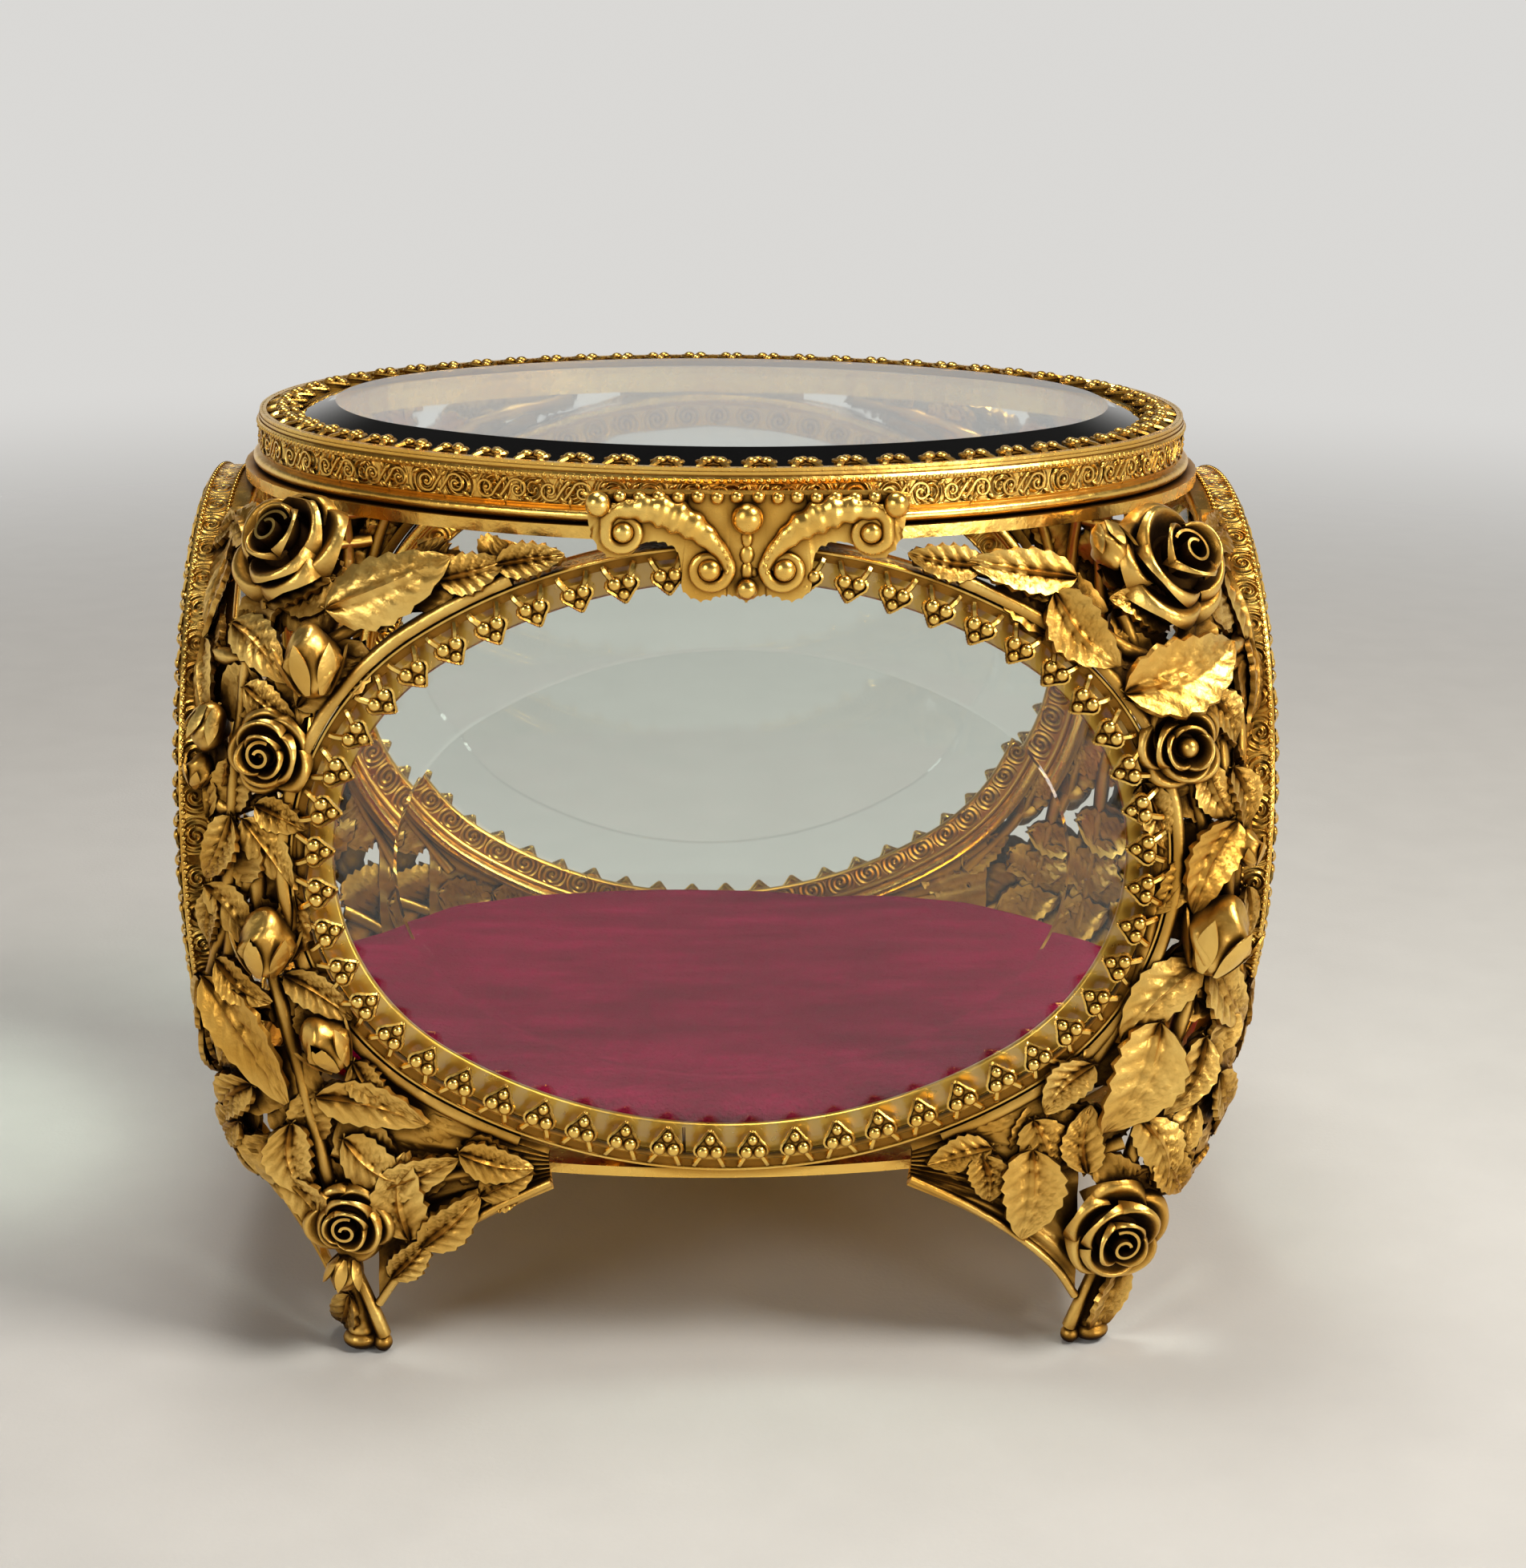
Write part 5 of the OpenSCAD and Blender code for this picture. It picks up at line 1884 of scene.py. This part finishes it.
@dataclass(frozen=True)
class Lamp:
    """One soft area light, in metres and watts."""

    name: str
    at: tuple[float, float, float]
    aim: float
    size: float
    power: float
    colour: Colour

    def build(self) -> None:
        """Makes the light, aimed at a height on the casket's axis."""
        data = bpy.data.lights.new(self.name, "AREA")
        data.size, data.energy, data.color = self.size, self.power, self.colour
        obj = bpy.data.objects.new(self.name, data)
        z = unit(np.array(self.at) - [0, 0, self.aim])
        x = unit(np.cross([0, 0, 1], z))
        turn = Matrix(np.stack([x, np.cross(z, x), z], 1).tolist()).to_4x4()
        obj.matrix_world = Matrix.Translation(self.at) @ turn
        bpy.context.scene.collection.objects.link(obj)


@dataclass(frozen=True)
class Studio:
    """Camera, light, floor and backdrop.

    place, in millimetres, yaw, pitch and roll, in radians, and the lens, in the photograph's
    pixels, give its view. The surroundings are pale at the level of the floor and dark
    overhead, between two rises, and light the casket dimly.
    """

    place: tuple[float, float, float] = (-13.8, -387.0, 184.5)
    yaw: float = 0.052
    pitch: float = 0.296
    roll: float = 0.013
    lens_px: float = 3397.0
    tall_px: float = 1957.0
    sensor: float = 36.0
    pale: Colour = (0.70, 0.69, 0.67)
    dark: Colour = (0.08, 0.078, 0.075)
    dim: Colour = (0.09, 0.088, 0.085)
    rises: tuple[float, float] = (0.12, 0.50)
    floor: Plain = Plain("pale_floor", (0.55, 0.542, 0.53), 0.8, 0.28, 0.85)
    floor_rings: tuple[float, ...] = (120, 300, 500, 700, 900, 1100, 1300, 1400)
    floor_sides: int = 64
    floor_z: float = -0.02
    lamps: tuple[Lamp, ...] = (
        Lamp("key", (0.42, -0.22, 0.62), 0.07, 0.26, 5.0, (1.0, 0.95, 0.86)),
        Lamp("fill", (-0.60, -0.70, 0.50), 0.06, 0.36, 2.4, (1.0, 0.97, 0.92)),
        Lamp("back", (-0.10, 0.14, 0.94), 0.08, 0.30, 3.6, (1.0, 0.96, 0.9)),
        Lamp("low", (0.60, -0.65, 0.12), 0.07, 0.22, 1.9, (1.0, 0.95, 0.88)))

    def camera(self) -> None:
        """Sets the camera at the photograph's viewing angle."""
        y, p, r = self.yaw, self.pitch, self.roll
        ahead = np.array([math.sin(y) * math.cos(p), math.cos(y) * math.cos(p), -math.sin(p)])
        right = np.array([math.cos(y), -math.sin(y), 0.0])
        up = np.cross(right, ahead)
        x = math.cos(r) * right + math.sin(r) * up
        data = bpy.data.cameras.new("view")
        data.sensor_fit = "VERTICAL"
        data.sensor_height = self.sensor
        data.lens = self.sensor * self.lens_px / self.tall_px
        data.clip_start = 0.01
        obj = bpy.data.objects.new("view", data)
        turn = Matrix(np.stack([x, math.cos(r) * up - math.sin(r) * right, -ahead], 1).tolist()).to_4x4()
        obj.matrix_world = Matrix.Translation(np.array(self.place) * MM) @ turn
        bpy.context.scene.collection.objects.link(obj)
        bpy.context.scene.camera = obj

    def surroundings(self) -> None:
        """Sets the backdrop, which the camera, metal and glass see and which lights dimly."""
        world = bpy.data.worlds.new("studio")
        bpy.context.scene.world = world
        n = Nodes(world)
        split = n.new("ShaderNodeSeparateXYZ")
        n.feed(split.inputs[0], n.new("ShaderNodeTexCoord").outputs["Object"])
        backdrop = n.tint(n.eased(split.outputs["Z"], *self.rises), self.pale, self.dark)
        path = n.new("ShaderNodeLightPath").outputs
        seen = n.math("MAXIMUM", path["Is Camera Ray"], path["Is Glossy Ray"])
        seen = n.math("MAXIMUM", seen, path["Is Transmission Ray"])
        back = n.new("ShaderNodeBackground")
        n.feed(back.inputs[0], n.tint(seen, self.dim, backdrop))
        n.feed(n.new("ShaderNodeOutputWorld").inputs[0], back.outputs[0])

    def build(self, bench: Bench) -> None:
        """Sets the whole studio.

        Args:
            bench: makes the floor.
        """
        bpy.context.scene.view_settings.view_transform = "Standard"
        self.camera()
        self.surroundings()
        around = np.arange(self.floor_sides) * TAU / self.floor_sides
        ring = np.stack([np.cos(around), np.sin(around), 0 * around], 1)
        rows = [ring * r + [0, 0, self.floor_z] for r in self.floor_rings]
        faces = [f[::-1] for f in skin(len(rows), self.floor_sides, high=False)]
        bench.link("studio_floor", Shape().add(np.array(rows), faces), self.floor.make(), 80)
        for lamp in self.lamps:
            lamp.build()


def coat(finish: bpy.types.Material, *names: str) -> None:
    """Gives CAD nodes that stay in sight their finish.

    Args:
        finish: the material.
        names: the nodes.
    """
    for name in names:
        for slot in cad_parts[name].material_slots:
            slot.material = finish
        LOG.info("%s keeps its solid, in %s", name, finish.name)


def main() -> None:
    """Builds every piece, then the studio."""
    logging.basicConfig(level=logging.INFO, format="%(message)s")
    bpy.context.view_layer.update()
    bench = Bench()
    gold = Gilt("gilt").make()
    # The castings' gilt: darker worn patches, and deep, wide painted shade in its hollows.
    antique_shaded = Gilt("gilt_antique_shaded", bright=(0.97, 0.65, 0.18), worn=(0.70, 0.38, 0.065), reach=0.0045,
                   deep=2.1, rough=0.31, grain=0.00012).make()
    lace = Gilt("gilt_lace", worn=(0.90, 0.54, 0.11), reach=0.0014, deep=1.8, rough=0.2,
                grain=0.00004).make()
    # The dark band in the grooves round the panes: grime and painted shade in the gap.
    grime_and_shade = Gilt("grime_and_shade", (0.10, 0.055, 0.016), (0.035, 0.02, 0.008), rough=0.5).make()
    band = Gilt("gilt_band", scroll=4.2).make()
    # The ledge behind the panes is a darker copy of the gilt: painted shade.
    inner = Gilt("gilt_inner", (0.66, 0.37, 0.07), (0.56, 0.29, 0.045), scroll=8.35, deep=0.0,
                 rough=0.3, grain=0.00002).make()
    engraved = Gilt("gilt_engraved", scroll=6.42, deep=0.6).make()
    glass = Glass("bevelled_glass").make()
    coat(gold, "lid_hinge_leaf", "body_hinge_leaf", "hinge_pin", "mouth_ring", "floor_plate")
    coat(Plain("card", (0.30, 0.24, 0.19)).make(), "pad_card")
    Windows(bench, lace, band, inner, grime_and_shade, glass).build()
    Lid(bench, gold, engraved, glass).build()
    Castings(bench, antique_shaded).build()
    Pad(bench, Velvet("velvet").make()).build()
    Studio().build(bench)


if __name__ == "__main__":
    main()
